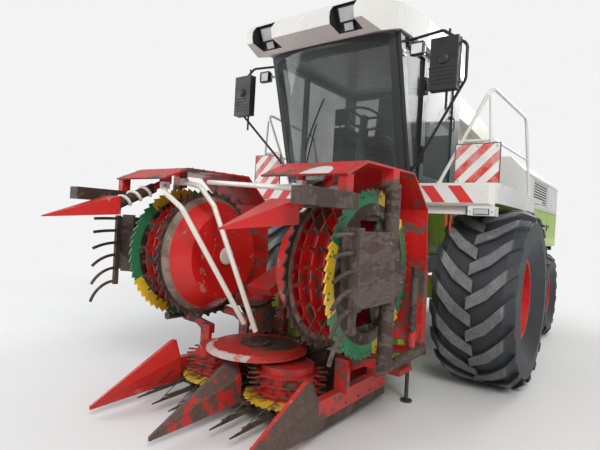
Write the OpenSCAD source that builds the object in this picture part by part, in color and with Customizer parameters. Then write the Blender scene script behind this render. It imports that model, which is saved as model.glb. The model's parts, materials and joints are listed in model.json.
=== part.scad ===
// Self-propelled forage harvester with a folded rotary crop header.
// Lengths are in millimetres. X points to the machine's left, Y to its rear, Z up.
// Inside the modules Y = 0 is the front axle; in_frame() moves it to the middle of the length.

/* [Machine] */
// Distance between the front and the rear axle
wheelbase = 3100; // [2900:50:3400]
// From the front axle forward to the tips of the folded outer dividers
front_reach = 3700; // [3700:10:3800]
// From the front axle back to the tip of the spout and the tail
rear_reach = 4800; // [4700:50:5200]
// Height of the platform deck above the tops of the front tyres
deck_gap = 210; // [180:5:260]
// Clearance between a shaft and its bore
fit = 0.3; // [0.2:0.1:0.6]

/* [Front wheels] */
// Diameter of a front tyre over its lugs
front_tyre_d = 1850; // [1750:10:1900]
// Width of a front tyre
front_tyre_w = 800; // [600:10:820]
// Diameter of a front rim's flange
front_rim_d = 870; // [800:10:900]
// Distance between the middles of the front tyres
front_track = 2700; // [2640:10:2800]

/* [Rear wheels] */
// Diameter of a rear tyre over its lugs
rear_tyre_d = 1310; // [1200:10:1350]
// Width of a rear tyre
rear_tyre_w = 540; // [400:10:560]
// Diameter of a rear rim's flange
rear_rim_d = 660; // [600:10:680]
// Distance between the middles of the rear tyres
rear_track = 2440; // [2420:10:2560]
// Distance between the two kingpins
kingpin_track = 1720; // [1680:10:1730]

/* [Chassis] */
// Distance between the outer faces of the chassis rails
rail_span = 1040; // [980:10:1050]
// Width of one chassis rail
rail_w = 80; // [60:5:90]
// Height of one chassis rail
rail_h = 220; // [180:10:240]
// Clearance between the front axle's tube and the rails above it
rail_gap = 5; // [3:1:40]

/* [Body] */
// Distance between the outer faces of the side panels
body_w = 2600; // [2500:10:2640]
// Front end of the rear body, from the front axle
body_y0 = 1500; // [1450:10:1700]
// Rear end of the rear body, from the front axle
body_y1 = 4560; // [4400:10:4600]
// Height of the lower edge of the side panels
body_z0 = 1420; // [1400:10:1500]
// Height of the seam between the lower and the upper panels
body_z1 = 2000; // [1900:10:2050]
// Height of the top of the rear body
body_z2 = 2660; // [2600:10:2700]
// Thickness of a body panel
panel_t = 30; // [20:2:40]

/* [Cab] */
// Half of the cab's width at its posts
cab_x = 760; // [730:10:780]
// Place of the cab's rear wall
cab_y1 = 360; // [320:10:380]
// Height of the cab's roof rail
cab_z1 = 3400; // [3350:10:3450]
// Lean of the windscreen from upright, in degrees
screen_lean = 17; // [14:1:19]
// Thickness of the cab's glass
glass_t = 12; // [8:1:16]
// Width of a cab post
post_w = 60; // [50:2:70]
// Width of the door
door_w = 920; // [880:10:940]

/* [Spout] */
// Place of the spout's turning axis, from the front axle
turn_y = 860; // [840:10:900]
// Height of the turning ring
turn_z = 2700; // [2680:10:2740]
// Width of the spout's duct
duct_w = 400; // [360:10:420]
// Height of the spout's duct
duct_h = 330; // [300:10:340]
// Wall of the duct
duct_t = 14; // [10:1:20]
// Radius of the elbow's middle line
elbow_r = 560; // [540:10:600]
// Radius of the long arc that the duct follows
arc_r = 15000; // [12000:500:18000]

/* [Header] */
// Place of the lift pivot of the feed housing, from the front axle
lift_y = -450; // [-470:5:-430]
// Height of the lift pivot above the underside of the rails
lift_rise = 90; // [75:5:130]
// Place of the header's rear face
header_y = -1400; // [-1420:5:-1390]
// Distance of a fold hinge from the middle of the header
fold_x = 780; // [775:5:790]
// Height of the fold hinges
fold_z = 500; // [490:5:510]
// Place of the big rotors' axis, from the front axle
rotor_y = -2270; // [-2280:5:-2260]
// Height of the folded big rotors' axis
rotor_z = 1250; // [1240:5:1260]
// Radius of the big rotors' knife ring
knife_r = 620; // [600:5:625]
// Distance of the knife ring from the middle, wings folded
knife_x = 1045; // [1040:1:1050]
// Distance of a small rotor's axis from the middle
small_x = 365; // [364:1:370]
// Radius of a small rotor
small_r = 345; // [330:5:346]
// Place of the small rotors' axis
small_y = -2320; // [-2325:5:-2315]
// Distance of a feed drum's axis from the middle
drum_x = 270; // [265:5:280]
// Radius of a feed drum over its tines
drum_r = 150; // [140:5:155]
// Lean of a feed drum, in degrees
drum_lean = 25; // [22:1:26]

/* [Hidden] */
$fn = 48;

y_shift = (front_reach - rear_reach) / 2;
axle_r = 130;
front_z = front_tyre_d / 2;
rail_z = front_z + axle_r + rail_gap;
lift_z = rail_z + lift_rise;
deck_z = front_tyre_d + deck_gap;
deck_t = 60;
red = "#c8281e";
worn = "#3c2a26";
white = "#e9e9e4";
light_green = "#a9c23f";
black = "#1d1e20";
steel = "#8b8d90";
rubber = "#26282b";
glass = "#7f9a9a";

module in_frame() {
    translate([0, y_shift, 0])
        children();
}

module both_sides() {
    for (side = [0, 1])
        mirror([side, 0, 0])
            children();
}

// A round bar from point p to point q.
module bar(p, q, d, sides = 48) {
    v = q - p;
    flat = norm([v[0], v[1]]);
    translate(p)
        rotate([0, atan2(flat, v[2]), atan2(v[1], v[0])])
            cylinder(d = d, h = norm(v), $fn = sides);
}

function unit(v) = v / norm(v);

// Distance from a corner to where a bend of radius r starts.
function setback(p, q, s, r) = r * tan(acos(unit(q - p) * unit(s - q)) / 2);

// A weld collar round a tube at point p, in direction u.
module collar(p, u, d) {
    bar(p - 5 * u, p + 5 * u, d + 1.6, 24);
}

// A round bend of radius r at corner q of the path p, q, s, with a collar at each end.
module bend(p, q, s, d, r) {
    u = unit(q - p);
    v = unit(s - q);
    turn = acos(u * v);
    n = unit(v - (u * v) * u);
    cut = setback(p, q, s, r);
    c = q - cut * u + r * n;
    w = cross(-n, u);
    multmatrix([[-n[0], u[0], w[0], c[0]], [-n[1], u[1], w[1], c[1]], [-n[2], u[2], w[2], c[2]], [0, 0, 0, 1]])
        rotate_extrude(angle = turn)
            translate([r, 0])
                circle(d = d, $fn = 24);
    collar(q - cut * u, u, d);
    collar(q + cut * v, v, d);
}

// A round tube through a list of points, bent to radius r at each corner.
// Each straight ends half a millimetre before its bend, inside the collar.
module tube(points, d, r) {
    last = len(points) - 1;
    for (i = [0 : last - 1]) {
        p = points[i];
        q = points[i + 1];
        u = unit(q - p);
        cut0 = i == 0 ? 0 : setback(points[i - 1], p, q, r) + 0.5;
        cut1 = i == last - 1 ? 0 : setback(p, q, points[min(i + 2, last)], r) + 0.5;
        bar(p + cut0 * u, q - cut1 * u, d, 24);
        if (i < last - 1)
            bend(p, q, points[i + 2], d, r);
    }
}

// A box given by its lowest and highest corners.
module block(p, q) {
    translate(p)
        cube(q - p);
}

// A profile of [radius, offset] points spun round the X axis; offset runs along X.
module spin_x(profile, sides = 72) {
    rotate([0, 90, 0])
        rotate_extrude($fn = sides)
            polygon(profile);
}

// An outline of [y, z] points given a thickness along X, from x0 to x1.
module side_plate(points, x0, x1) {
    translate([x0, 0, 0])
        rotate([90, 0, 90])
            linear_extrude(x1 - x0)
                polygon(points);
}

// An outline of [x, z] points given a length along Y, from y0 to y1.
module along_y(points, y0, y1) {
    translate([0, y1, 0])
        rotate([90, 0, 0])
            linear_extrude(y1 - y0)
                polygon(points);
}

// Outline of a toothed disc: n teeth from radius r0 out to r1. rise and fall are where on its pitch
// a tooth reaches its tip and where it comes back down.
function toothed(n, r0, r1, rise, fall) = [
    for (i = [0 : n - 1], k = [[0, r0], [rise, r1], [fall, r1], [fall + 0.12, r0]])
        k[1] * [cos((i + k[0]) * 360 / n), sin((i + k[0]) * 360 / n)]];

// A toothed ring of thickness t standing at x0 on an axis along X.
module tooth_ring(n, r0, r1, inner, x0, t, rise, fall) {
    translate([x0, 0, 0])
        rotate([0, 90, 0])
            linear_extrude(t)
                difference() {
                    polygon(toothed(n, r0, r1, rise, fall));
                    circle(inner, $fn = 96);
                }
}

// Wheels

// Section of a tyre: bead, bulged sidewall, shoulder and the tread's floor between the lugs
function tyre_section(r, w, rim_r) = [
    [rim_r + 4 + fit, -w * rim_share], [rim_r + (r - rim_r) * 0.45, -w / 2], [r - 95, -w * 0.485],
    [r - 20, -w * 0.36], [r - 20, w * 0.36], [r - 95, w * 0.485], [rim_r + (r - rim_r) * 0.45, w / 2],
    [rim_r + 4 + fit, w * rim_share]];

// Outline of one lug seen from outside: it runs from the middle of the tread out over the shoulder and
// bends forward; w is the tyre's width and b the lug's width.
function lug_outline(w, b) = [
    [-w * 0.03, -b * 1.9], [w * 0.2, -b * 0.9], [w * 0.49, b * 1.5],
    [w * 0.49, b * 2.5], [w * 0.17, b * 0.1], [-w * 0.03, -b * 0.9]];

module tyre(d, w, rim_d, lug_h, lugs) {
    r = d / 2;
    pitch = 360 / lugs;
    b = r * sin(pitch) * 0.36;
    color(rubber)
        union() {
            spin_x(tyre_section(r - lug_h + 20, w, rim_d / 2), 36);
            for (i = [0 : lugs - 1])
                for (side = [0, 1])
                    rotate([(i + side * 0.5) * pitch, 0, 0])
                        mirror([side, 0, 0])
                            intersection() {
                                translate([0, 0, r - lug_h - 90])
                                    linear_extrude(lug_h + 88)
                                        polygon(lug_outline(w, b));
                                spin_x([[r - lug_h - 100, -w * 0.1], [r - lug_h - 100, w * 0.5],
                                    [r - 75, w * 0.5], [r, w * 0.36], [r, -w * 0.1]], 36);
                            }
        }
}

// Half of a rim's width as a share of its tyre's width
rim_share = 0.36;
rim_t = 14;

// Section of a rim as [radius, offset]: flanges, seats, a dropped middle, an inner step and the disc.
module rim(rim_d, w, disc_x, hub_r, bore_r) {
    r = rim_d / 2;
    e = w * rim_share;
    seat = r - 26;
    well = r - 62;
    step = well - rim_t - 22;
    color(red)
        spin_x([[r + 4, -e], [r + 4, -e + rim_t], [seat, -e + rim_t], [seat, -e * 0.62], [well, -e * 0.48],
            [well, e * 0.48], [seat, e * 0.62], [seat, e - rim_t], [r + 4, e - rim_t], [r + 4, e],
            [seat - rim_t, e], [seat - rim_t, e * 0.66], [well - rim_t, e * 0.52], [well - rim_t, e * 0.2],
            [step, e * 0.12], [step, disc_x + 26], [hub_r + 40, disc_x + 10], [hub_r, disc_x + 30],
            [bore_r, disc_x + 30], [bore_r, disc_x], [hub_r, disc_x], [hub_r + 50, disc_x - 12],
            [step, disc_x + 4], [well - rim_t, disc_x + 4], [well - rim_t, -e * 0.52], [seat - rim_t, -e * 0.66],
            [seat - rim_t, -e]]);
}

front_x = front_track / 2;
rear_x = rear_track / 2;
rear_z = rear_tyre_d / 2;
front_hub_r = 170;
rear_hub_r = 110;
front_bore_r = 75;
rear_bore_r = 55;
front_disc_x = -120;
rear_disc_x = -60;

module front_tyre() {
    translate([front_x, 0, front_z])
        tyre(front_tyre_d, front_tyre_w, front_rim_d, 48, 18);
}

module front_rim() {
    translate([front_x, 0, front_z])
        rim(front_rim_d, front_tyre_w, front_disc_x, front_hub_r, front_bore_r);
}

module rear_tyre() {
    translate([rear_x, wheelbase, rear_z])
        tyre(rear_tyre_d, rear_tyre_w, rear_rim_d, 36, 17);
}

module rear_rim() {
    translate([rear_x, wheelbase, rear_z])
        rim(rear_rim_d, rear_tyre_w, rear_disc_x, rear_hub_r, rear_bore_r);
}

module front_tyre_left() { front_tyre(); }
module front_tyre_right() { mirror([1, 0, 0]) front_tyre(); }
module front_rim_left() { front_rim(); }
module front_rim_right() { mirror([1, 0, 0]) front_rim(); }
module rear_tyre_left() { rear_tyre(); }
module rear_tyre_right() { mirror([1, 0, 0]) rear_tyre(); }
module rear_rim_left() { rear_rim(); }
module rear_rim_right() { mirror([1, 0, 0]) rear_rim(); }

// Axles and knuckles

front_disc_face = front_x + front_disc_x;
rear_disc_face = rear_x + rear_disc_x;
kingpin_x = kingpin_track / 2;
kingpin_r = 45;
fork_r = 80;

module front_axle() {
    color(light_green) {
        translate([-rail_span / 2 - 260, 0, front_z])
            rotate([0, 90, 0])
                cylinder(r = axle_r, h = rail_span + 520);
        both_sides() {
            translate([rail_span / 2 + 220, 0, front_z])
                rotate([0, 90, 0])
                    cylinder(r = 230, h = front_disc_face - rail_span / 2 - 235);
            translate([front_disc_face - 20, 0, front_z])
                rotate([0, 90, 0])
                    cylinder(r = front_bore_r - fit, h = 58);
            block([rail_x0, -130, front_z], [rail_span / 2, 130, rail_z]);
            for (x = [lift_ram_x - 44, lift_ram_x + 28])
                side_plate([[lift_a[0] - 35, front_z - 75], [lift_a[0] + 120, front_z - 75],
                    [lift_a[0] + 40, lift_a[1] - 35], [lift_a[0] - 35, lift_a[1] - 35]], x, x + 16);
            translate([lift_ram_x - 44, lift_a[0], lift_a[1]])
                rotate([0, 90, 0])
                    cylinder(r = lift_eye_r, h = 88);
        }
    }
}

module knuckle() {
    color(black) {
        translate([kingpin_x, wheelbase, rear_z - 110])
            cylinder(r = fork_r - 10, h = 220);
        translate([kingpin_x, wheelbase, rear_z])
            rotate([0, 90, 0])
                cylinder(r = 65, h = rear_disc_face - kingpin_x - fit);
        translate([kingpin_x, wheelbase, rear_z])
            rotate([0, 90, 0])
                cylinder(r = rear_bore_r - fit, h = rear_disc_face - kingpin_x + 40);
        translate([kingpin_x, wheelbase, rear_z - 160])
            cylinder(r = kingpin_r, h = 320);
    }
}

module knuckle_left() { knuckle(); }
module knuckle_right() { mirror([1, 0, 0]) knuckle(); }

yoke_x0 = kingpin_x - fork_r - 85;
yoke_x1 = kingpin_x - fork_r - 5;
yoke_h = 35;
yoke_gap = 115;

module rear_axle() {
    color(black)
        difference() {
            union() {
                block([-yoke_x1, wheelbase - 90, rear_z - 90], [yoke_x1, wheelbase + 90, rear_z + 90]);
                both_sides() {
                    block([yoke_x0, wheelbase - fork_r, rear_z - yoke_gap - yoke_h],
                        [yoke_x1, wheelbase + fork_r, rear_z + yoke_gap + yoke_h]);
                    for (z = [rear_z - yoke_gap - yoke_h, rear_z + yoke_gap]) {
                        block([yoke_x1 - 1, wheelbase - fork_r, z], [kingpin_x, wheelbase + fork_r, z + yoke_h]);
                        translate([kingpin_x, wheelbase, z])
                            cylinder(r = fork_r, h = yoke_h);
                    }
                }
                block([-110, wheelbase - 130, rear_z + 90], [110, wheelbase + 130, rail_z + 60]);
                block([-rail_x0, wheelbase - 60, rail_z + 20], [rail_x0, wheelbase + 60, rail_z + 140]);
            }
            both_sides()
                translate([kingpin_x, wheelbase, rear_z - 200])
                    cylinder(r = kingpin_r + fit, h = 400);
        }
}

// Chassis and engine

hitch_pin_y = rear_reach - 60;
rail_x0 = rail_span / 2 - rail_w;
hitch_pin_r = 20;
pivot_r = 45;
rail_y0 = lift_y - 90;

module chassis() {
    color(black)
        difference() {
            union() {
                both_sides()
                    block([rail_x0, rail_y0, rail_z], [rail_span / 2, body_y1 - 60, rail_z + rail_h]);
                for (y = [1250, 2300, body_y1 - 260])
                    block([-rail_x0, y, rail_z + 20], [rail_x0, y + 90, rail_z + rail_h - 20]);
                both_sides()
                    for (y = [body_y0 + 60, body_y1 - 240])
                        block([rail_span / 2, y, body_z0 - 80],
                            [body_w / 2 - panel_t, y + 60, body_z0 + 20]);
                both_sides()
                    for (y = [body_y0 + 60, body_y1 - 240])
                        block([rail_x0, y, rail_z + rail_h], [rail_span / 2, y + 60, body_z0 + 20]);
                block([-60, body_y1 - 170, 640], [60, body_y1 - 90, rail_z + 60]);
                block([-120, body_y1 - 170, 640], [120, rear_reach, 680]);
            }
            translate([0, hitch_pin_y, 600])
                cylinder(r = hitch_pin_r, h = 120);
            translate([-rail_span / 2 - 10, lift_y, lift_z])
                rotate([0, 90, 0])
                    cylinder(r = pivot_r + fit, h = rail_span + 20);
        }
}

module engine() {
    color(steel)
        block([-rail_span / 2 + 20, 2500, rail_z + rail_h], [rail_span / 2 - 20, 4100, rail_z + rail_h + 900]);
}

// Chopper housing between the rails; its front is hollowed round the lift pivot.
feed_r = 355;
throat_r = feed_r + 12;
chopper_z1 = deck_z - deck_t - 100;
ring_w = 150;

module chopper_housing() {
    color(light_green) {
        difference() {
            side_plate([[-200, front_z + axle_r + 20], [1080, front_z + axle_r + 20], [1080, chopper_z1],
                [600, chopper_z1], [-60, 1640], [-330, 1560]], -rail_x0, rail_x0);
            translate([-rail_x0 - 10, lift_y, lift_z])
                rotate([0, 90, 0])
                    cylinder(r = throat_r, h = 2 * rail_x0 + 20, $fn = 96);
        }
        both_sides()
            difference() {
                translate([rail_span / 2, lift_y, lift_z])
                    rotate([0, 90, 0])
                        cylinder(r = 265, h = ring_w);
                translate([rail_span / 2 + 30, lift_y, lift_z])
                    rotate([0, 90, 0])
                        cylinder(r = 180, h = ring_w);
                translate([rail_span / 2 - 1, lift_y, lift_z])
                    rotate([0, 90, 0])
                        cylinder(r = pivot_r + 12, h = ring_w);
            }
    }
}

// Platform, ladder, railings

platform_x = 1530;
fascia_y = -840;
fascia_h = 220;
platform_y1 = body_y0;
cowl_h = 190;

module platform() {
    color(white) {
        intersection() {
            side_plate([[fascia_y + 25, deck_z - fascia_h], [fascia_y, deck_z - fascia_h + 25], [fascia_y, deck_z - 25],
                [fascia_y + 25, deck_z], [fascia_y + 160, deck_z], [fascia_y + 160, deck_z - deck_t],
                [fascia_y + 30, deck_z - deck_t], [fascia_y + 30, deck_z - fascia_h]], -platform_x, platform_x);
            translate([0, 0, deck_z - fascia_h - 1])
                linear_extrude(fascia_h + 2)
                    polygon([[-platform_x, fascia_y + 170], [-platform_x, fascia_y + 75],
                        [-platform_x + 22, fascia_y + 22], [-platform_x + 75, fascia_y - 1],
                        [platform_x - 75, fascia_y - 1], [platform_x - 22, fascia_y + 22],
                        [platform_x, fascia_y + 75], [platform_x, fascia_y + 170]]);
        }
        difference() {
            block([-platform_x, fascia_y + 159, deck_z - deck_t], [platform_x, platform_y1, deck_z]);
            block([-duct_w / 2 - fit, turn_y - duct_w / 2 - fit, deck_z - 200],
                [duct_w / 2 + fit, turn_y + duct_w / 2 + fit, deck_z + 10]);
        }
        both_sides() {
            block([platform_x - 40, fascia_y + 30, deck_z - cowl_h],
                [platform_x, 1000, deck_z - deck_t]);
            block([platform_x - 260, fascia_y + 20, deck_z - fascia_h - 90],
                [platform_x - 20, fascia_y + 180, deck_z - fascia_h]);
            block([platform_x - 200, fascia_y + 40, deck_z - fascia_h],
                [platform_x - 60, fascia_y + 120, deck_z - deck_t]);
        }
    }
    color(black) {
        block([-platform_x + 300, fascia_y + 90, deck_z - fascia_h - 80],
            [platform_x - 300, fascia_y + 150, deck_z - fascia_h + 60]);
        for (x = [-700, 0, 700])
            block([x - 40, fascia_y + 100, deck_z - fascia_h + 59], [x + 40, fascia_y + 140, deck_z - deck_t]);
        both_sides() {
            block([rail_x0, -300, rail_z + rail_h], [rail_span / 2, -200, deck_z - deck_t]);
            block([rail_x0, 1150, rail_z + rail_h], [rail_span / 2, 1250, deck_z - deck_t]);
        }
    }
}

ladder_x0 = 1380;
ladder_x1 = 1620;
ladder_y0 = 1030;
ladder_y1 = 1440;

module ladder() {
    color(black) {
        for (y = [ladder_y0, ladder_y1])
            tube([[ladder_x0 + 20, y, deck_z - deck_t - 30], [ladder_x1 - 40, y, 1500],
                [ladder_x1 - 40, y, 560]], 40, 120);
        for (i = [0 : 4])
            block([ladder_x0 + 60, ladder_y0, 540 + i * 290], [ladder_x1 + 20, ladder_y1, 570 + i * 290]);
        for (y = [ladder_y0, ladder_y1])
            block([ladder_x0, y - 25, deck_z - deck_t - 60], [ladder_x0 + 60, y + 25, deck_z - deck_t]);
    }
}

rail_d = 34;

module railings() {
    color(white)
        both_sides() {
            tube([[950, -740, deck_z + 9], [1402, -700, 2990], [1488, 460, 2920],
                [1500, 780, deck_z + 9]], rail_d, 110);
            bar([1395, -700, 2900], [1440, -700, deck_z + 9], rail_d - 4);
            for (foot = [[950, -740], [1440, -700], [1500, 780]])
                translate([foot[0], foot[1], deck_z])
                    cylinder(r = 28, h = 22);
            tube([[1145, -719, 2480], [1440, -680, 2480], [1487, 620, 2470]], rail_d - 8, 60);
        }
}

board_w = 410;
board_h = 380;

module warning_boards() {
    color("white")
        both_sides()
            block([platform_x - board_w - 10, fascia_y + 80, deck_z],
                [platform_x - 10, fascia_y + 90, deck_z + board_h]);
}

// Cab

screen_y0 = -1020;
floor_z = deck_z;
door_y0 = -760;
door_y1 = door_y0 + door_w;
header_rail = 70;
screen_x = cab_x - 40;
lean_k = tan(screen_lean);

// Place of the screen's lower corner line at a given height.
function screen_at(z) = screen_y0 - (z - floor_z) * lean_k;

pillar_w = 90;
post_y0 = door_y0 - 44;
hinge_r = 14;
hinge_x = cab_x + hinge_r + 4;
hinge_pin_r = 8;
hinge_zs = [floor_z + 250, floor_z + 950];
hinge_h = 90;

// Outline of the leaning screen seen from above, without its lean.
module screen_disc(r) {
    intersection() {
        translate([0, screen_y0 + sqrt(screen_r * screen_r - screen_x * screen_x)])
            circle(r, $fn = 720);
        translate([-screen_x, screen_y0 - screen_r])
            square([2 * screen_x, screen_r]);
    }
}

module cab_frame() {
    color(black) {
        both_sides() {
            side_plate([[screen_at(floor_z) + 16, floor_z], [screen_at(cab_z1) + 16, cab_z1],
                [screen_at(cab_z1) + 16 + pillar_w, cab_z1], [screen_at(floor_z) + 16 + pillar_w, floor_z]],
                cab_x - post_w, cab_x);
            block([cab_x - post_w, post_y0, floor_z], [cab_x, door_y0 - 4, cab_z1]);
            block([cab_x - post_w, door_y1 + 4, floor_z], [cab_x, cab_y1, cab_z1]);
            block([cab_x - post_w, screen_at(cab_z1) + 60, cab_z1 - header_rail], [cab_x, cab_y1, cab_z1]);
        }
        block([-cab_x, cab_y1 - post_w, floor_z], [cab_x, cab_y1, floor_z + 700]);
        block([-cab_x, cab_y1 - post_w, cab_z1 - header_rail], [cab_x, cab_y1, cab_z1]);
        block([-cab_x, screen_at(cab_z1) + 60, cab_z1 - header_rail], [cab_x, screen_at(cab_z1) + 120, cab_z1]);
        block([-cab_x, screen_y0 + 20, floor_z], [cab_x, cab_y1, floor_z + 30]);
        translate([0, 0, floor_z])
            linear_extrude(30)
                union() {
                    screen_disc(screen_r);
                    translate([-screen_x, screen_y0 - 1])
                        square([2 * screen_x, 40]);
                }
        for (z = hinge_zs) {
            for (z0 = [z - 42, z + hinge_h + 2]) {
                translate([hinge_x, door_y0, z0])
                    cylinder(r = hinge_r, h = 40);
                block([cab_x - 5, door_y0 - 40, z0], [hinge_x, door_y0 - 4, z0 + 40]);
                block([cab_x + 1, door_y0 - 5, z0], [hinge_x, door_y0, z0 + 40]);
            }
            translate([hinge_x, door_y0, z - 42])
                cylinder(r = hinge_pin_r, h = hinge_h + 84);
        }
    }
}

// Roof recesses: [y, z] of the top of the slanted back wall, its slope in degrees, and its reach across
recess_top = [-1868, 3515];
recess_slope = 26.8;
recess_x = [330, 575];
// Lamps on that wall: [width, height, distance down it]
roof_lamps = [[150, 112, 16], [88, 62, 146]];

module cab_roof() {
    color(white)
        difference() {
            roof_shell();
            both_sides()
                side_plate([[-2100, recess_top.y], recess_top,
                    [recess_top.x + 300 * tan(recess_slope), recess_top.y - 300], [-2100, recess_top.y - 300]],
                    recess_x[0], recess_x[1]);
        }
}

module roof_shell() {
    intersection() {
        side_plate([[-1700, 3300], [-1940, 3345], [-1960, 3440], [-1880, 3540], [-1400, 3640],
            [-700, 3690], [100, 3690], [400, 3640], [440, 3540], [440, cab_z1], [-1440, cab_z1]],
            -cab_x - 60, cab_x + 60);
        linear_extrude(4000)
            polygon([[-640, -1970], [640, -1970], [cab_x + 10, -1500], [cab_x + 60, -900],
                [cab_x + 60, 100], [cab_x, 450], [-cab_x, 450], [-cab_x - 60, 100],
                [-cab_x - 60, -900], [-cab_x - 10, -1500]]);
    }
}

module lamps() {
    color("white")
        both_sides() {
            for (l = roof_lamps)
                translate([(recess_x[0] + recess_x[1]) / 2, recess_top.x, recess_top.y])
                    rotate([recess_slope, 0, 0])
                        block([-l[0] / 2, -30, -l[2] - l[1]], [l[0] / 2, -0.2, -l[2]]);
            translate([platform_x - 200, fascia_y + 5, deck_z - fascia_h - 75])
                cube([130, 14.5, 45]);
            translate([cab_x + 90, screen_at(cab_z1) + 60, 3170])
                cube([110, 70, 100]);
            block([cab_x, screen_at(3220) + 30, 3195], [cab_x + 14, screen_at(3220) + 80, 3245]);
            bar([cab_x + 8, screen_at(3220) + 55, 3220], [cab_x + 120, screen_at(cab_z1) + 110, 3220], 24);
        }
}

// The screen is a band of a large circle, leaning with the front posts; the roof's underside cuts its top.
screen_r = 1150;
module windscreen() {
    color(glass)
        difference() {
            multmatrix([[1, 0, 0, 0], [0, 1, -lean_k, floor_z * lean_k], [0, 0, 1, 0], [0, 0, 0, 1]])
                translate([0, 0, floor_z + 30])
                    linear_extrude(cab_z1 - floor_z)
                        difference() {
                            screen_disc(screen_r);
                            screen_disc(screen_r - glass_t);
                        }
            side_plate([[-2200, roof_under(-2200)], [-1440, cab_z1 - 0.3], [0, cab_z1 - 0.3], [0, 4200], [-2200, 4200]],
                -cab_x, cab_x);
        }
}

// Height of the roof's sloping underside ahead of the cab
function roof_under(y) = cab_z1 - 0.3 + (y + 1440) * 100 / 260;

module cab_windows() {
    color(glass) {
        both_sides()
            side_plate([[screen_at(floor_z + 30) + 16 + pillar_w, floor_z + 30],
                [screen_at(cab_z1 - header_rail) + 16 + pillar_w, cab_z1 - header_rail],
                [post_y0, cab_z1 - header_rail], [post_y0, floor_z + 30]],
                cab_x - 40, cab_x - 40 + glass_t);
        block([-cab_x + post_w, cab_y1 - 40, floor_z + 700],
            [cab_x - post_w, cab_y1 - 40 + glass_t, cab_z1 - header_rail]);
        mirror([1, 0, 0])
            block([cab_x - 40, door_y0 - 4, floor_z + 30], [cab_x - 40 + glass_t, door_y1 + 4, cab_z1 - header_rail]);
    }
}

// The door is an upright frame between its front post and the rear post; its hinges are at the front.
door_t = 40;
module door_outline(inset) {
    polygon([[door_y0 + inset, floor_z + 34 + inset], [door_y0 + inset, cab_z1 - header_rail - 6 - inset],
        [door_y1 - inset, cab_z1 - header_rail - 6 - inset], [door_y1 - inset, floor_z + 34 + inset]]);
}

module door_frame() {
    color(black) {
        translate([cab_x - door_t, 0, 0])
            rotate([90, 0, 90])
                linear_extrude(door_t)
                    difference() {
                        door_outline(0);
                        door_outline(55);
                    }
        for (z = hinge_zs)
            difference() {
                union() {
                    translate([hinge_x, door_y0, z])
                        cylinder(r = hinge_r, h = hinge_h);
                    block([cab_x - 5, door_y0, z], [hinge_x, door_y0 + 14, z + hinge_h]);
                }
                translate([hinge_x, door_y0, z - 1])
                    cylinder(r = hinge_pin_r + fit, h = hinge_h + 2);
            }
    }
}

module door_glass() {
    color(glass)
        translate([cab_x - 26, 0, 0])
            rotate([90, 0, 90])
                linear_extrude(glass_t)
                    door_outline(55);
}

seat_y = -260;
module seat() {
    color("#4a4d52") {
        block([-250, seat_y - 260, floor_z + 480], [250, seat_y + 250, floor_z + 600]);
        side_plate([[seat_y + 200, floor_z + 600], [seat_y + 320, floor_z + 1230],
            [seat_y + 400, floor_z + 1230], [seat_y + 300, floor_z + 600]], -230, 230);
        block([-160, seat_y - 160, floor_z + 30], [160, seat_y + 180, floor_z + 480]);
    }
}

module steering_console() {
    color(black) {
        translate([0, -760, floor_z + 30])
            cylinder(r = 62, h = 24);
        bar([0, -758, floor_z + 42], [0, -640, floor_z + 760], 90);
        translate([0, -640, floor_z + 760])
            rotate([-25, 0, 0])
                rotate_extrude($fn = 48)
                    translate([200, 0])
                        circle(14, $fn = 24);
        translate([0, -640, floor_z + 760])
            rotate([-25, 0, 0]) {
                cylinder(r = 50, h = 30, center = true);
                for (a = [0 : 120 : 359])
                    rotate([0, 0, a])
                        translate([0, -12, -8])
                            cube([200, 24, 16]);
            }
        block([-440, seat_y - 320, floor_z + 30], [-300, seat_y + 220, floor_z + 700]);
    }
}

mirror_x = 1060;
mirror_w = 240;
mirror_y = -1400;
module mirrors() {
    color(black)
        both_sides() {
            block([mirror_x, mirror_y - 30, 2800], [mirror_x + mirror_w, mirror_y + 50, 3250]);
            tube([[cab_x + 12, -1240, 3360], [mirror_x + 60, mirror_y + 90, 3360],
                [mirror_x + mirror_w + 40, mirror_y + 90, 3200], [mirror_x + mirror_w + 40, mirror_y + 90, 2900],
                [cab_x + 12, -990, floor_z + 120]], 26, 70);
            block([cab_x, -1268, 3335], [cab_x + 20, -1212, 3385]);
            block([cab_x, -1015, floor_z + 95], [cab_x + 20, -965, floor_z + 145]);
            bar([mirror_x + 120, mirror_y + 90, 2650], [mirror_x + 120, mirror_y + 90, 3360], 22);
            block([mirror_x + 100, mirror_y + 40, 2980], [mirror_x + 140, mirror_y + 90, 3060]);
        }
}

// Rear body

// Outline of the upper body, drawn in by t from its outer faces; the shoulders are cut at the corners.
shoulder_x = 180;
shoulder_z = 190;
function body_outline(t, z0) = [
    [-body_w / 2 + t, z0], [-body_w / 2 + t, body_z2 - shoulder_z - t * 0.4],
    [-body_w / 2 + shoulder_x + t * 0.4, body_z2 - t], [body_w / 2 - shoulder_x - t * 0.4, body_z2 - t],
    [body_w / 2 - t, body_z2 - shoulder_z - t * 0.4], [body_w / 2 - t, z0]];

grille_y0 = 2250;
grille_y1 = 3450;
grille_z0 = 2090;
grille_z1 = 2410;
grille_pitch = 40;

module upper_panels() {
    color(white) {
        difference() {
            along_y(body_outline(0, body_z1), body_y0, body_y1 - panel_t);
            along_y(body_outline(panel_t, body_z1 - 1), body_y0 + panel_t, body_y1);
            both_sides()
                block([body_w / 2 - panel_t - 1, grille_y0, grille_z0], [body_w / 2 + 1, grille_y1, grille_z1]);
        }
        both_sides()
            for (z = [grille_z0 + 15 : grille_pitch : grille_z1 - 20])
                block([body_w / 2 - 20, grille_y0 - 1, z], [body_w / 2 - 8, grille_y1 + 1, z + 18]);
        rear_hinge(rear_hinge_zs[1]);
    }
}

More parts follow.
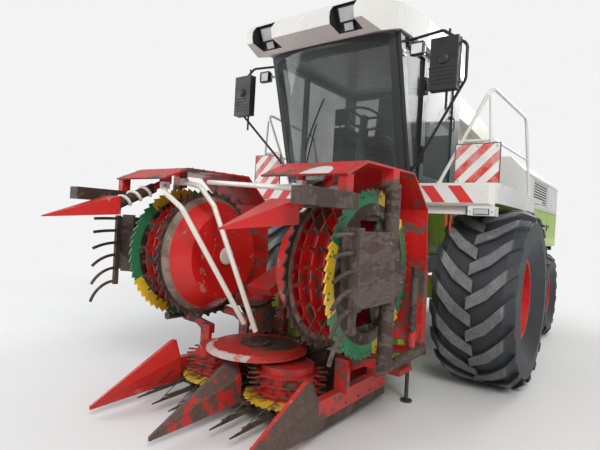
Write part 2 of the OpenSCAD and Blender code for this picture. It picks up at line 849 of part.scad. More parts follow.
module lower_panels() {
    color(light_green) {
        both_sides() {
            block([body_w / 2 - panel_t, body_y0, body_z0], [body_w / 2, body_y1 - panel_t, body_z1]);
            block([body_w / 2 - panel_t - 110, body_y1 - panel_t - 60, body_z0],
                [body_w / 2 - panel_t + 1, body_y1 - panel_t, body_z1]);
        }
        block([-body_w / 2 + panel_t - 1, body_y0, body_z0], [body_w / 2 - panel_t + 1, body_y0 + panel_t, body_z1]);
        rear_hinge(rear_hinge_zs[0]);
    }
}

rear_door_z0 = body_z0 + 30;
rear_door_z1 = body_z2 - 20;
rear_door_x = body_w / 2 - 60;
rear_hinge_x = -rear_door_x - 14;
rear_hinge_y = body_y1 + 15;
rear_hinge_r = 12;
rear_pin_r = 6;
rear_hinge_zs = [body_z0 + 230, body_z2 - 330];

// Two knuckles and a pin on the body, at height z, for the rear door's right edge.
module rear_hinge(z) {
    for (z0 = [z - 32, z + 62]) {
        translate([rear_hinge_x, rear_hinge_y, z0])
            cylinder(r = rear_hinge_r, h = 30);
        block([-body_w / 2 + 2, body_y1 - panel_t - 1, z0], [-body_w / 2 + panel_t - 4, rear_hinge_y, z0 + 30]);
        block([-body_w / 2 + 2, rear_hinge_y - rear_hinge_r, z0], [rear_hinge_x, rear_hinge_y, z0 + 30]);
    }
    translate([rear_hinge_x, rear_hinge_y, z - 32])
        cylinder(r = rear_pin_r, h = 124);
}

module rear_door() {
    color(light_green) {
        difference() {
            along_y([[-rear_door_x, rear_door_z0], [-rear_door_x, rear_door_z1 - shoulder_z],
                [-rear_door_x + shoulder_x, rear_door_z1], [rear_door_x - shoulder_x, rear_door_z1],
                [rear_door_x, rear_door_z1 - shoulder_z], [rear_door_x, rear_door_z0]],
                body_y1 - panel_t + 4, body_y1 + 20);
            for (z = [rear_door_z0 + 160 : 110 : rear_door_z1 - 200])
                block([-rear_door_x + 160, body_y1 - panel_t, z], [rear_door_x - 160, body_y1 + 30, z + 50]);
        }
        for (z = rear_hinge_zs)
            difference() {
                union() {
                    translate([rear_hinge_x, rear_hinge_y, z])
                        cylinder(r = rear_hinge_r, h = 60);
                    block([rear_hinge_x, rear_hinge_y - rear_hinge_r, z], [-rear_door_x + 1, rear_hinge_y + 5, z + 60]);
                }
                translate([rear_hinge_x, rear_hinge_y, z - 1])
                    cylinder(r = rear_pin_r + fit, h = 62);
            }
    }
}

// Discharge tower with the neck that the spout turns on, and the spout's rest
neck_r = 190;
rest_y = 4150;
shoe_t = 18;
shoe_w = 70;
ring_r = 250;
elbow_z = 3010;
elbow_y1 = turn_y + elbow_r;
elbow_z1 = elbow_z + elbow_r;

// Height of the duct's underside at a given distance from the front axle.
function duct_under(y) = elbow_z1 - arc_r + sqrt(pow(arc_r - duct_h / 2, 2) - pow(y - elbow_y1, 2));

// The shoe by which the duct lies on its rest is level with the duct's slope there.
rest_slope = asin((rest_y - elbow_y1) / (arc_r - duct_h / 2));

module at_rest() {
    translate([0, rest_y, duct_under(rest_y)])
        rotate([-rest_slope, 0, 0])
            children();
}

module discharge_tower() {
    color(light_green)
        difference() {
            union() {
                block([-duct_w / 2, turn_y - duct_w / 2, chopper_z1], [duct_w / 2, turn_y + duct_w / 2, turn_z - 39]);
                translate([0, turn_y, turn_z - 40])
                    cylinder(r = ring_r + 20, h = 40);
                translate([0, turn_y, turn_z - 1])
                    cylinder(r = neck_r, h = 81);
            }
            translate([0, turn_y, turn_z - 200])
                cylinder(r = neck_r - 14, h = 400);
        }
    color(black) {
        block([-40, rest_y - 40, body_z2], [40, rest_y + 40, duct_under(rest_y) - shoe_t - 30]);
        at_rest()
            block([-100, -50, -shoe_t - 48], [100, 50, -shoe_t - 0.6]);
    }
}

// Spout

lift_hinge_y = turn_y - 190;
lift_hinge_z = elbow_z;
spout_pin_r = 20;
spout_eye_r = 16;
ear_t = 16;
ram_a = [turn_y + 300, 2760];
ram_b = [turn_y + 840, 3340];
ram_angle = atan2(ram_b[1] - ram_a[1], ram_b[0] - ram_a[0]);
ram_len = norm(ram_b - ram_a);
ear_x = duct_w / 2 + 8 + ear_t;

module spout_base() {
    color(white)
        difference() {
            union() {
                translate([0, turn_y, turn_z + fit])
                    cylinder(r = ring_r, h = 100);
                block([-duct_w / 2, turn_y - duct_h / 2, turn_z + 99], [duct_w / 2, turn_y + duct_h / 2, elbow_z - 6]);
                both_sides() {
                    side_plate([[lift_hinge_y - 60, lift_hinge_z - 110], [lift_hinge_y - 60, lift_hinge_z + 40],
                        [lift_hinge_y + 60, lift_hinge_z + 40], [turn_y + 100, turn_z + 120],
                        [turn_y + 100, turn_z + 80], [lift_hinge_y + 20, turn_z + 80]],
                        ear_x + 2, ear_x + 2 + ear_t);
                    block([duct_w / 2 - 10, turn_y - 100, turn_z + 60], [ear_x + 10, turn_y + 80, turn_z + 100]);
                }
                for (x = [-52, 36])
                    side_plate([[turn_y + 200, turn_z + 20], [ram_a[0] + 40, ram_a[1] - 40],
                        [ram_a[0] + 40, ram_a[1] + 40], [turn_y + 200, turn_z + 99]], x, x + 16);
            }
            translate([0, turn_y, turn_z - 10])
                cylinder(r = neck_r + fit, h = 130);
            block([-duct_w / 2 + duct_t, turn_y - duct_h / 2 + duct_t, turn_z + 60],
                [duct_w / 2 - duct_t, turn_y + duct_h / 2 - duct_t, elbow_z]);
            translate([-ear_x - 40, lift_hinge_y, lift_hinge_z])
                rotate([0, 90, 0])
                    cylinder(r = spout_pin_r + fit, h = 2 * ear_x + 80);
        }
    color(white)
        translate([-52, ram_a[0], ram_a[1]])
            rotate([0, 90, 0])
                cylinder(r = spout_eye_r, h = 104);
}

module duct_section(closed) {
    difference() {
        square([duct_h, duct_w], center = true);
        translate([closed ? 0 : -duct_t, 0])
            square([closed ? duct_h - 2 * duct_t : duct_h, duct_w - 2 * duct_t], center = true);
    }
}

flap_len = 380;
arc_angle = asin((rear_reach - flap_len - elbow_y1) / arc_r);
tip_y = elbow_y1 + arc_r * sin(arc_angle);
tip_z = elbow_z1 - arc_r + arc_r * cos(arc_angle);

// The flap hangs on a pin along the upper edge of the duct's open end.
flap_pin_r = 10;
flap_eye_r = 18;
flap_hinge_y = tip_y + duct_h / 2 * sin(arc_angle) + 6;
flap_hinge_z = tip_z + duct_h / 2 * cos(arc_angle) + flap_pin_r + 6;
flap_eyes = [-160, -20, 120];
flap_eye_w = 40;

module at_flap() {
    translate([0, flap_hinge_y, flap_hinge_z])
        rotate([-arc_angle, 0, 0])
            children();
}

module spout_chute() {
    color(white) {
        translate([0, elbow_y1, elbow_z])
            rotate([90, 0, -90])
                rotate_extrude(angle = 89.94, $fn = 96)
                    translate([elbow_r, 0])
                        duct_section(true);
        translate([0, elbow_y1, elbow_z1 - arc_r])
            rotate([90, 0, 90])
                rotate([0, 0, 90 - arc_angle])
                    rotate_extrude(angle = arc_angle - 0.002, $fn = 360)
                        translate([arc_r, 0])
                            duct_section(false);
        difference() {
            block([-duct_w / 2 - 8, elbow_y1 - 14, elbow_z1 - duct_h / 2 - 8],
                [duct_w / 2 + 8, elbow_y1 + 14, elbow_z1 + duct_h / 2 + 8]);
            block([-duct_w / 2 + duct_t + 1, elbow_y1 - 15, elbow_z1 - duct_h / 2 + duct_t + 1],
                [duct_w / 2 - duct_t - 1, elbow_y1 + 15, elbow_z1 + duct_h / 2 - duct_t - 1]);
        }
        both_sides() {
            side_plate([[lift_hinge_y - 40, lift_hinge_z - 40], [lift_hinge_y + 50, lift_hinge_z - 40],
                [turn_y + 60, elbow_z + 120], [turn_y - 60, elbow_z + 160], [lift_hinge_y - 40, lift_hinge_z + 60]],
                duct_w / 2 + 6, duct_w / 2 + 6 + ear_t);
            block([duct_w / 2 - 2, turn_y - 110, elbow_z + 40], [duct_w / 2 + 8, turn_y - 20, elbow_z + 120]);
            translate([duct_w / 2 + 6, lift_hinge_y, lift_hinge_z])
                rotate([0, 90, 0])
                    cylinder(r = spout_pin_r, h = 60);
        }
        for (x = [-46, 30])
            side_plate([[ram_b[0] - 120, duct_under(ram_b[0]) + 4], [ram_b[0] - 35, ram_b[1] - 35],
                [ram_b[0] + 35, ram_b[1] - 35], [ram_b[0] + 120, duct_under(ram_b[0]) + 4]], x, x + 16);
        block([-duct_w / 2, ram_b[0] - 130, duct_under(ram_b[0]) - 2],
            [duct_w / 2, ram_b[0] + 130, duct_under(ram_b[0]) + 12]);
        translate([-46, ram_b[0], ram_b[1]])
            rotate([0, 90, 0])
                cylinder(r = spout_eye_r, h = 92);
        at_rest()
            block([-duct_w / 2, -shoe_w, -shoe_t], [duct_w / 2, shoe_w, 6]);
        at_flap()
            for (x = flap_eyes)
                difference() {
                    union() {
                        translate([x, 0, 0])
                            rotate([0, 90, 0])
                                cylinder(r = flap_eye_r, h = flap_eye_w);
                        block([x, -60, -26], [x + flap_eye_w, 0, -4]);
                    }
                    translate([x - 1, 0, 0])
                        rotate([0, 90, 0])
                            cylinder(r = flap_pin_r + fit, h = flap_eye_w + 2);
                }
    }
}

module spout_flap() {
    color(white)
        at_flap() {
            block([-duct_w / 2, 25, -4], [duct_w / 2, flap_len - 60, 4]);
            both_sides()
                side_plate([[34, -3], [flap_len - 60, -3], [flap_len - 60, -70], [80, -200], [34, -200]],
                    duct_w / 2 - duct_t - 14, duct_w / 2 - duct_t - 6);
            translate([-duct_w / 2, 0, 0])
                rotate([0, 90, 0])
                    cylinder(r = flap_pin_r, h = duct_w);
            for (x = [[-duct_w / 2, -166], [-114, -26], [26, 114], [166, duct_w / 2]])
                block([x[0], 0, -4], [x[1], 26, 4]);
        }
}

barrel_len = 0.62;
// A cylinder along +Y from its eye at the origin; the barrel starts past the eye.
module ram_barrel(len, r, eye_r, half_w) {
    difference() {
        union() {
            translate([0, eye_r + 30, 0])
                rotate([-90, 0, 0])
                    cylinder(r = r, h = len - eye_r - 30);
            translate([-half_w, 0, 0])
                rotate([0, 90, 0])
                    cylinder(r = eye_r + 14, h = 2 * half_w);
            block([-half_w, 0, -eye_r - 4], [half_w, eye_r + 34, eye_r + 4]);
        }
        translate([-half_w - 1, 0, 0])
            rotate([0, 90, 0])
                cylinder(r = eye_r + fit, h = 2 * half_w + 2);
        translate([0, eye_r + 60, 0])
            rotate([-90, 0, 0])
                cylinder(r = r * 0.55 + fit, h = len);
    }
}

module ram_rod(len, reach, r, eye_r, half_w, play) {
    difference() {
        union() {
            translate([0, len - reach, 0])
                rotate([-90, 0, 0])
                    cylinder(r = r * 0.55, h = reach - eye_r - play - 2);
            translate([-half_w, len, 0])
                rotate([0, 90, 0])
                    cylinder(r = eye_r + play + 12, h = 2 * half_w);
        }
        translate([-half_w - 1, len, 0])
            rotate([0, 90, 0])
                cylinder(r = eye_r + play, h = 2 * half_w + 2);
    }
}

module spout_cylinder() {
    color(black)
        translate([0, ram_a[0], ram_a[1]])
            rotate([ram_angle, 0, 0])
                ram_barrel(ram_len * barrel_len, 34, spout_eye_r, 34);
}

module spout_rod() {
    color(steel)
        translate([0, ram_a[0], ram_a[1]])
            rotate([ram_angle, 0, 0])
                ram_rod(ram_len, ram_len * 0.78, 34, spout_eye_r, 27, 14);
}

// Header: feed housing and lift

lift_a = [-50, 560];
lift_b = [-1150, 620];
lift_ram_x = 480;
lift_ram_angle = atan2(lift_b[1] - lift_a[1], lift_b[0] - lift_a[0]);
lift_ram_len = norm(lift_b - lift_a);
lift_eye_r = 25;
feed_x = rail_x0 - 10;

module feed_housing() {
    color(light_green) {
        difference() {
            union() {
                translate([-feed_x, lift_y, lift_z])
                    rotate([0, 90, 0])
                        cylinder(r = feed_r, h = 2 * feed_x, $fn = 96);
                side_plate([[lift_y - 60, lift_z + feed_r - 8], [header_y, 1200], [header_y, 400],
                    [lift_y - 200, lift_z - feed_r + 70]], -feed_x, feed_x);
            }
            block([-340, header_y - 10, 470], [340, header_y + 260, 1130]);
        }
        both_sides() {
            translate([feed_x - 1, lift_y, lift_z])
                rotate([0, 90, 0])
                    cylinder(r = pivot_r, h = rail_span / 2 - feed_x + 10);
            translate([feed_x - 1, lift_b[0], lift_b[1]])
                rotate([0, 90, 0])
                    cylinder(r = lift_eye_r, h = lift_ram_x - feed_x + 36);
            block([feed_x, -1390, 430], [feed_x + 240, -1100, 480]);
            block([feed_x + 240, -1390, 430], [feed_x + 460, -1060, 900]);
        }
    }
}

module lift_cylinders() {
    color(black)
        both_sides()
            translate([lift_ram_x, lift_a[0], lift_a[1]])
                rotate([lift_ram_angle, 0, 0])
                    ram_barrel(lift_ram_len * 0.6, 42, lift_eye_r, 24);
}

module lift_rods() {
    color(steel)
        both_sides()
            translate([lift_ram_x, lift_a[0], lift_a[1]])
                rotate([lift_ram_angle, 0, 0])
                    ram_rod(lift_ram_len, lift_ram_len * 0.72, 42, lift_eye_r, 22, 5);
}

// Header frame

post_x = 440;
side_beam_x0 = 722;
side_beam_x1 = 790;
floor_top = 150;
lug_t = 40;
lug_ys = [-2180, -1640];
fold_pin_r = 30;
drum_base_y = -1660;
drum_base_z = 175;

header_front = -2560;
points_x = [230, 430, 620];
stand_x = 930;
stand_y = -1230;
stand_r = 18;

module header_frame() {
    color(red) {
        difference() {
            union() {
                both_sides() {
                    block([post_x - 80, header_y - 80, 300], [post_x, header_y, 1340]);
                    block([side_beam_x0, header_front, 80], [side_beam_x1, header_y, 300]);
                    for (y = lug_ys)
                        block([side_beam_x0, y, 290], [fold_x + 60, y + lug_t, fold_z + 50]);
                    block([side_beam_x1 - 1, header_y - 70, 285], [stand_x + 30, header_y - 10, 339]);
                    block([stand_x - 30, header_y - 70, 285], [stand_x + 30, stand_y, 339]);
                    translate([stand_x, stand_y, 285])
                        cylinder(r = 30, h = 340);
                }
                block([-post_x, header_y - 80, 1260], [post_x, header_y, 1340]);
                block([-side_beam_x1, header_y - 110, 120], [side_beam_x1, header_y, 340]);
                block([-side_beam_x0, header_front, 120], [side_beam_x0, header_y, floor_top]);
                for (x = [-side_beam_x1 + 40, 0, side_beam_x1 - 40])
                    block([x - 40, header_front, floor_top - 1], [x + 40, header_front + 20, 330]);
                for (x = [-460, 0, 460])
                    block([x - 60, header_front, 60], [x + 60, header_y - 60, 121]);
                block([-70, -1960, floor_top - 1], [70, -1880, 505]);
                block([-70, -2100, 480], [70, -1880, 512]);
                side_plate([[header_y - 60, 1340], [header_y - 60, 1260], [-2280, 960], [-2330, 1020],
                    [-1560, 1340]], -130, 130);
                translate([0, -2290, 0])
                    rotate_extrude($fn = 72)
                        polygon([[0, 548], [380, 532], [430, 508], [430, 496], [375, 512], [0, 528]]);
            }
            both_sides() {
                for (y = lug_ys)
                    translate([fold_x, y - 1, fold_z])
                        rotate([-90, 0, 0])
                            cylinder(r = fold_pin_r + fit, h = lug_t + 2);
                translate([drum_x, drum_base_y, drum_base_z])
                    rotate([drum_lean, 0, 0])
                        translate([0, 0, 250])
                            cylinder(r = drum_r + 12, h = 400);
                translate([stand_x, stand_y, 280])
                    cylinder(r = stand_r + fit, h = 360);
            }
        }
        both_sides() {
            translate([small_x, small_y, floor_top - 1])
                cylinder(r = 110, h = 36);
            translate([small_x, small_y, floor_top])
                cylinder(r = 45, h = 300);
            translate([drum_x, drum_base_y, drum_base_z])
                rotate([drum_lean, 0, 0])
                    translate([0, 0, -45])
                        cylinder(r = 40, h = 385);
        }
    }
    color(worn)
        both_sides()
            for (x = points_x)
                translate([x, header_front + 20, 135])
                    rotate([90, 0, 0])
                        cylinder(r1 = 14, r2 = 5, h = 360);
}

// The three big dividers lean on the front edge of the header's floor.
big_tips = [-750, 0, 750];
tip_y_low = -3350;

module divider(x) {
    hull() {
        translate([x - 8, tip_y_low, 60])
            cube([16, 10, 30]);
        translate([x - 90, header_front - 40, 122])
            cube([180, 40, 208]);
        translate([x - 20, header_front - 40, 460])
            cube([40, 40, 10]);
    }
}

module header_dividers() {
    color(red)
        for (x = big_tips)
            divider(x);
}

// A small rotor: a knife disc and tined discs on an upright drum
module small_rotor() {
    color(red)
        translate([small_x, small_y, 0])
            difference() {
                union() {
                    translate([0, 0, 195])
                        linear_extrude(12)
                            polygon(toothed(36, small_r - 22, small_r, 0.6, 0.7));
                    for (z = [255, 325, 395])
                        translate([0, 0, z])
                            rotate([0, 0, z / 4])
                                linear_extrude(12)
                                    polygon(toothed(16, small_r - 95, small_r - 20, 0.12, 0.2));
                    translate([0, 0, 195])
                        cylinder(r = small_r - 130, h = 270);
                }
                translate([0, 0, 190])
                    cylinder(r = 45 + fit, h = 262);
            }
}

module small_rotor_left() { small_rotor(); }
module small_rotor_right() { mirror([1, 0, 0]) small_rotor(); }

module feed_drum() {
    color(red)
        translate([drum_x, drum_base_y, drum_base_z])
            rotate([drum_lean, 0, 0])
                difference() {
                    union() {
                        translate([0, 0, 30])
                            cylinder(r = drum_r - 60, h = 750);
                        for (z = [60 : 130 : 710])
                            translate([0, 0, z])
                                rotate([0, 0, z / 3])
                                    linear_extrude(12)
                                        polygon(toothed(12, drum_r - 32, drum_r, 0.2, 0.4));
                        translate([0, 0, 760])
                            cylinder(r1 = drum_r - 10, r2 = 60, h = 60);
                    }
                    translate([0, 0, -1])
                        cylinder(r = 40 + fit, h = 342);
                }
}

module feed_drum_left() { feed_drum(); }
module feed_drum_right() { mirror([1, 0, 0]) feed_drum(); }

// Parking stand of the header: a black leg in a red sleeve
module stand_leg() {
    color(black) {
        translate([stand_x, stand_y, 0])
            cylinder(r = 55, h = 14);
        translate([stand_x, stand_y, 10])
            cylinder(r = stand_r, h = 780);
    }
}

module stand_left() { stand_leg(); }
module stand_right() { mirror([1, 0, 0]) stand_leg(); }

// Folded wing

beam_x = 1180;
low_tube_z = 590;
hood_x0 = 520;
hood_x1 = 1200;
// Outline of the hood round the rotor: [y, z]
hood_line = [[-2950, 1900], [-2700, 2010], [-1950, 2020], [-1640, 1760], [-1590, 1250], [-1640, 800], [-1760, 690]];
hood_t = 16;
arm_ys = [-2135, -1595];

function shrink(p) = p + hood_t * ([rotor_y, rotor_z] - p) / norm([rotor_y, rotor_z] - p);

// clamps lists the fixings of the long bars: [y, height of the clamp's top]
module wing_frame(clamps) {
    color(worn) {
        bar([beam_x, rotor_y, low_tube_z], [beam_x, rotor_y, 1900], 110);
        bar([beam_x, rotor_y - 60, low_tube_z], [beam_x, -1560, low_tube_z], 80);
        bar([beam_x, -1790, low_tube_z], [beam_x, -1790, 1300], 60);
        translate([knife_x + 65, rotor_y, rotor_z])
            rotate([0, 90, 0])
                cylinder(r = 150, h = beam_x + 50 - knife_x - 65);
        translate([620, rotor_y, rotor_z])
            rotate([0, 90, 0])
                cylinder(r = 80, h = knife_x + 70 - 620);
        for (y = arm_ys) {
            translate([0, y + lug_t, 0])
                rotate([90, 0, 0])
                    linear_extrude(lug_t)
                        polygon([[fold_x - 45, fold_z - 40], [fold_x + 40, fold_z - 50], [fold_x + 180, fold_z + 24],
                            [1130, 530], [beam_x + 40, 560], [beam_x + 30, 640], [1100, 612],
                            [fold_x + 30, fold_z + 60], [fold_x - 45, fold_z + 50]]);
            translate([fold_x, y - 48, fold_z])
                rotate([-90, 0, 0])
                    cylinder(r = fold_pin_r, h = 60);
        }
    }
    color(red) {
        side_plate(concat(hood_line, [for (i = [len(hood_line) - 1 : -1 : 0]) shrink(hood_line[i])]), hood_x0, hood_x1);
        block([hood_x1 - 90, rotor_y - 50, 1880], [hood_x1, rotor_y + 50, 2010]);
        block([beam_x - 30, -1640, low_tube_z], [beam_x + 20, -1560, 1250]);
        block([1130, -2930, box_z1], [1190, -2850, 1905]);
        block([870, -2690, roller_z1], [930, -2600, 2000]);
        for (c = clamps)
            block([680, c[0] - 20, c[1]], [720, c[0] + 20, c[0] < -2750 ? 1955 : 2000]);
    }
    color(worn) {
        block([beam_x + 58, gate_y + 20, 1080], [beam_x + 74, -2330, 1560]);
        translate([0, 0, 1060])
            linear_extrude(520)
                polygon([[beam_x + 59, -2840], [beam_x + 59, -2760], [beam_x - 40, -2775], [beam_x - 70, -2800],
                    [beam_x - 70, -2812], [beam_x - 40, -2790]]);
        block([beam_x - 20, -2350, 1100], [beam_x + 60, -2300, 1540]);
    }
}

module wing_frame_left() { wing_frame([[-2720, 1885]]); }
module wing_frame_right() { mirror([1, 0, 0]) wing_frame([[-2800, 1880], [-2600, 1930]]); }

// Rods of the gate with the small points: [height at the bar, drop of the tip]
rods = [[1540, 8], [1430, 16], [1320, 50], [1210, 95], [1090, 135], [970, 170]];
rod_reach = 230;
gate_y = -2880;
box_z1 = 1790;
roller_z1 = 1940;

// A round rod along -Y that starts level at the origin and curves down by drop.
module curved_rod(reach, drop, d) {
    turn = 2 * atan(drop / reach);
    r = reach / sin(turn);
    translate([0, 0, -r])
        rotate([90, 0, -90])
            rotate([0, 0, 90 - turn])
                rotate_extrude(angle = turn, $fn = 96)
                    translate([r, 0])
                        circle(d = d, $fn = 24);
}

module wing_points() {
    color(worn) {
        block([beam_x + 48, gate_y - 20, 940], [beam_x + 84, gate_y + 20, 1570]);
        for (r = rods)
            translate([beam_x + 66, gate_y, r[0]])
                curved_rod(rod_reach, r[1], 26);
        block([1100, -3350, 1690], [1220, -2830, box_z1]);
    }
    color(red)
        hull() {
            translate([926, -3700, 1536])
                cube([8, 8, 8]);
            translate([800, -3160, 1580])
                cube([210, 20, 150]);
        }
    color(worn)
        bar([900, -3150, 1650], [900, -2770, 1830], 90);
    color(red) {
        bar([900, -2800, 1820], [900, -2640, 1900], 60);
        block([870, -2690, 1880], [930, -2600, roller_z1]);
        block([900, -3170, 1680], [1110, -3120, 1720]);
    }
}

module wing_points_left() { wing_points(); }
module wing_points_right() { mirror([1, 0, 0]) wing_points(); }

// A clamp block round a bar's end at point p, of half width h
module clamp(p, h) {
    block(p - [h, h, h], p + [h, h, h]);
}

module wing_bars_left() {
    color(white) {
        tube([[700, -2720, 1860], [560, -2640, 1840], [-420, -2560, 1900]], 40, 90);
        clamp([700, -2720, 1860], 25);
    }
}

module wing_bars_right() {
    color(white)
        mirror([1, 0, 0]) {
            tube([[700, -2800, 1850], [560, -2900, 1780], [400, -2850, 1660], [100, -2360, 700]], 44, 90);
            clamp([700, -2800, 1850], 30);
            tube([[700, -2600, 1900], [480, -2600, 1860], [360, -2540, 1700], [-60, -2385, 660]], 44, 90);
            clamp([700, -2600, 1900], 30);
        }
}

// Big rotor: a red drum with tined rings and a toothed rim; profile as [radius, distance from the middle].
tine_xs = [753, 848, 945];
tine_tip_r = 578;

module wing_rotor() {
    color(red)
        translate([0, rotor_y, rotor_z]) {
            spin_x([[80 + fit, 960], [130, 960], [130, 486], [383, 486], [508, 676], [508, 684], [400, 684], [400, 957],
                [420, 957], [420, 700], [560, 700], [560, 684], [540, 684], [395, 470],
                [150, 470], [150, 462], [60, 458], [60, 450], [0, 450], [0, 600], [80 + fit, 600]]);
            for (x = tine_xs)
                tooth_ring(26, 505, tine_tip_r, 410, x, 12, 0.10, 0.16);
            tooth_ring(40, 575, 603, 550, 684, 16, 0.42, 0.50);
        }
}

module wing_rotor_left() { wing_rotor(); }
module wing_rotor_right() { mirror([1, 0, 0]) wing_rotor(); }

module knife_ring() {
    color("#2f7a3c")
        translate([0, rotor_y, rotor_z]) {
            difference() {
                spin_x([[80 + fit, 975], [450, 975], [450, knife_x - 12], [560, knife_x - 12], [560, knife_x],
                    [430, knife_x], [430, 1000], [130, 1000], [130, knife_x], [80 + fit, knife_x]]);
                for (a = [0 : 60 : 359])
                    rotate([a, 0, 0])
                        translate([960, 0, 0])
                            rotate([0, 90, 0])
                                linear_extrude(60)
                                    polygon([[-200, -62], [-385, -135], [-385, 135], [-200, 62]]);
            }
            tooth_ring(54, knife_r - 24, knife_r, 545, knife_x - 12, 12, 0.72, 0.80);
        }
}

module knife_ring_left() { knife_ring(); }
module knife_ring_right() { mirror([1, 0, 0]) knife_ring(); }

in_frame() chassis();
in_frame() front_axle();
in_frame() rear_axle();
in_frame() engine();
in_frame() chopper_housing();
in_frame() platform();
in_frame() ladder();
in_frame() railings();
in_frame() warning_boards();
in_frame() cab_frame();
in_frame() cab_roof();
in_frame() lamps();
in_frame() windscreen();
in_frame() cab_windows();
in_frame() seat();
in_frame() steering_console();
in_frame() mirrors();
in_frame() upper_panels();
in_frame() lower_panels();
in_frame() discharge_tower();
in_frame() rear_door();
in_frame() door_frame();
in_frame() door_glass();
in_frame() spout_base();
in_frame() spout_chute();
in_frame() spout_flap();
in_frame() spout_cylinder();
in_frame() spout_rod();
in_frame() front_tyre_left();
in_frame() front_tyre_right();
in_frame() front_rim_left();
in_frame() front_rim_right();
in_frame() rear_tyre_left();
in_frame() rear_tyre_right();
in_frame() rear_rim_left();
in_frame() rear_rim_right();
in_frame() knuckle_left();
in_frame() knuckle_right();
in_frame() feed_housing();
in_frame() header_frame();
in_frame() header_dividers();
in_frame() small_rotor_left();
in_frame() small_rotor_right();
in_frame() feed_drum_left();
in_frame() feed_drum_right();
in_frame() stand_left();
in_frame() stand_right();
in_frame() lift_cylinders();
in_frame() lift_rods();
in_frame() wing_frame_left();
in_frame() wing_frame_right();
in_frame() wing_points_left();
in_frame() wing_points_right();
in_frame() wing_bars_left();
in_frame() wing_bars_right();
in_frame() wing_rotor_left();
in_frame() wing_rotor_right();
in_frame() knife_ring_left();
in_frame() knife_ring_right();
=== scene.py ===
import json
import math

import bpy
import bmesh
from mathutils import Matrix, Vector


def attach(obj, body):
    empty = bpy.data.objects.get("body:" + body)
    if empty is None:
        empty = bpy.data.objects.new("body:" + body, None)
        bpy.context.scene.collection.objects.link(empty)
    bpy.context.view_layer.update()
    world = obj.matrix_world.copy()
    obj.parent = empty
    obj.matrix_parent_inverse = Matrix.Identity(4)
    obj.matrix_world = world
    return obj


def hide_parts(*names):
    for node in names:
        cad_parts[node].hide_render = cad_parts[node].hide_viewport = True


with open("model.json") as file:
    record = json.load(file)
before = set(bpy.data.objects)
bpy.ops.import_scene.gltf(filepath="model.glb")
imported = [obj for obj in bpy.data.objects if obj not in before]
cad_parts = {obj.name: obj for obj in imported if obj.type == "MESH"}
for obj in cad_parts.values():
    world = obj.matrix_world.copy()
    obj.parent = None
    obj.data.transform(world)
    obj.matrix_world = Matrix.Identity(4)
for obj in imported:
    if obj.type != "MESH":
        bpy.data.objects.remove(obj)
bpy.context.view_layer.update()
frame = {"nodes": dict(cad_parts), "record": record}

# Y0 is the front axle's place in the shared frame, in metres. The other places are in millimetres, y back
# from that axle and z up from the ground. A tyre stands on the ground, so its radius is its axle's z.
Y0 = -0.55
FRONT_Y, FRONT_Z = 0, 925
REAR_Y, REAR_Z = 3100, 655
ROTOR_Y, ROTOR_Z = -2270, 1250
DISH_Y = -2290
WHITE = (0.70, 0.70, 0.675)
SPOUT_WHITE = (0.74, 0.72, 0.64)
RED = (0.58, 0.014, 0.012)
RIM_RED = (0.58, 0.02, 0.022)
GREEN = (0.36, 0.54, 0.05)
KNIFE_GREEN = (0.03, 0.20, 0.085)
YELLOW = (0.78, 0.53, 0.03)
RUST = (0.085, 0.035, 0.018)
DUST = (0.30, 0.25, 0.19)
BROWN = (0.042, 0.022, 0.015)
DARK_RED = (0.36, 0.02, 0.014)


# Materials

class Tree:
    """A node tree under construction."""

    def __init__(self, tree):
        self.tree = tree
        self.nodes = tree.nodes
        self.x = 0

    def add(self, kind, inputs=None, **settings):
        n = self.nodes.new(kind)
        n.location = (self.x, 0)
        self.x += 40
        for key, value in settings.items():
            setattr(n, key, value)
        for key, value in (inputs or {}).items():
            if isinstance(value, bpy.types.NodeSocket):
                self.tree.links.new(value, n.inputs[key])
            else:
                n.inputs[key].default_value = value
        return n

    def math(self, operation, a, b=0.0, clamp=False):
        n = self.nodes.new("ShaderNodeMath")
        n.operation = operation
        n.use_clamp = clamp
        for i, value in enumerate((a, b)):
            if isinstance(value, bpy.types.NodeSocket):
                self.tree.links.new(value, n.inputs[i])
            else:
                n.inputs[i].default_value = value
        return n.outputs[0]

    def ramp(self, value, low, high, to_low=0.0, to_high=1.0):
        n = self.add("ShaderNodeMapRange", {"Value": value, "From Min": low, "From Max": high,
                                            "To Min": to_low, "To Max": to_high})
        return n.outputs["Result"]

    def mix(self, factor, a, b):
        n = self.nodes.new("ShaderNodeMix")
        n.data_type = "RGBA"
        for key, value in (("Factor", factor), ("A", a), ("B", b)):
            socket = next(s for s in n.inputs if s.name == key and s.enabled)
            if isinstance(value, bpy.types.NodeSocket):
                self.tree.links.new(value, socket)
            else:
                socket.default_value = value if key == "Factor" else (*value, 1.0)
        return next(s for s in n.outputs if s.enabled)

    def noise(self, vector, scale, detail=3.0, roughness=0.55):
        n = self.add("ShaderNodeTexNoise", {"Vector": vector, "Scale": scale, "Detail": detail,
                                            "Roughness": roughness})
        return n.outputs["Fac"]

    def place(self, scale=(1.0, 1.0, 1.0), offset=(0.0, 0.0, 0.0)):
        where = self.add("ShaderNodeTexCoord").outputs["Object"]
        n = self.add("ShaderNodeMapping", {"Vector": where, "Location": offset, "Scale": scale})
        return n.outputs["Vector"]

    def xyz(self):
        where = self.add("ShaderNodeTexCoord").outputs["Object"]
        return self.add("ShaderNodeSeparateXYZ", {"Vector": where}).outputs

    def normal(self):
        """The direction that a face looks in."""
        face = self.add("ShaderNodeNewGeometry").outputs["Normal"]
        return self.add("ShaderNodeSeparateXYZ", {"Vector": face}).outputs

    def upward(self, value):
        """A vector along z."""
        return self.add("ShaderNodeCombineXYZ", {"Z": value}).outputs[0]


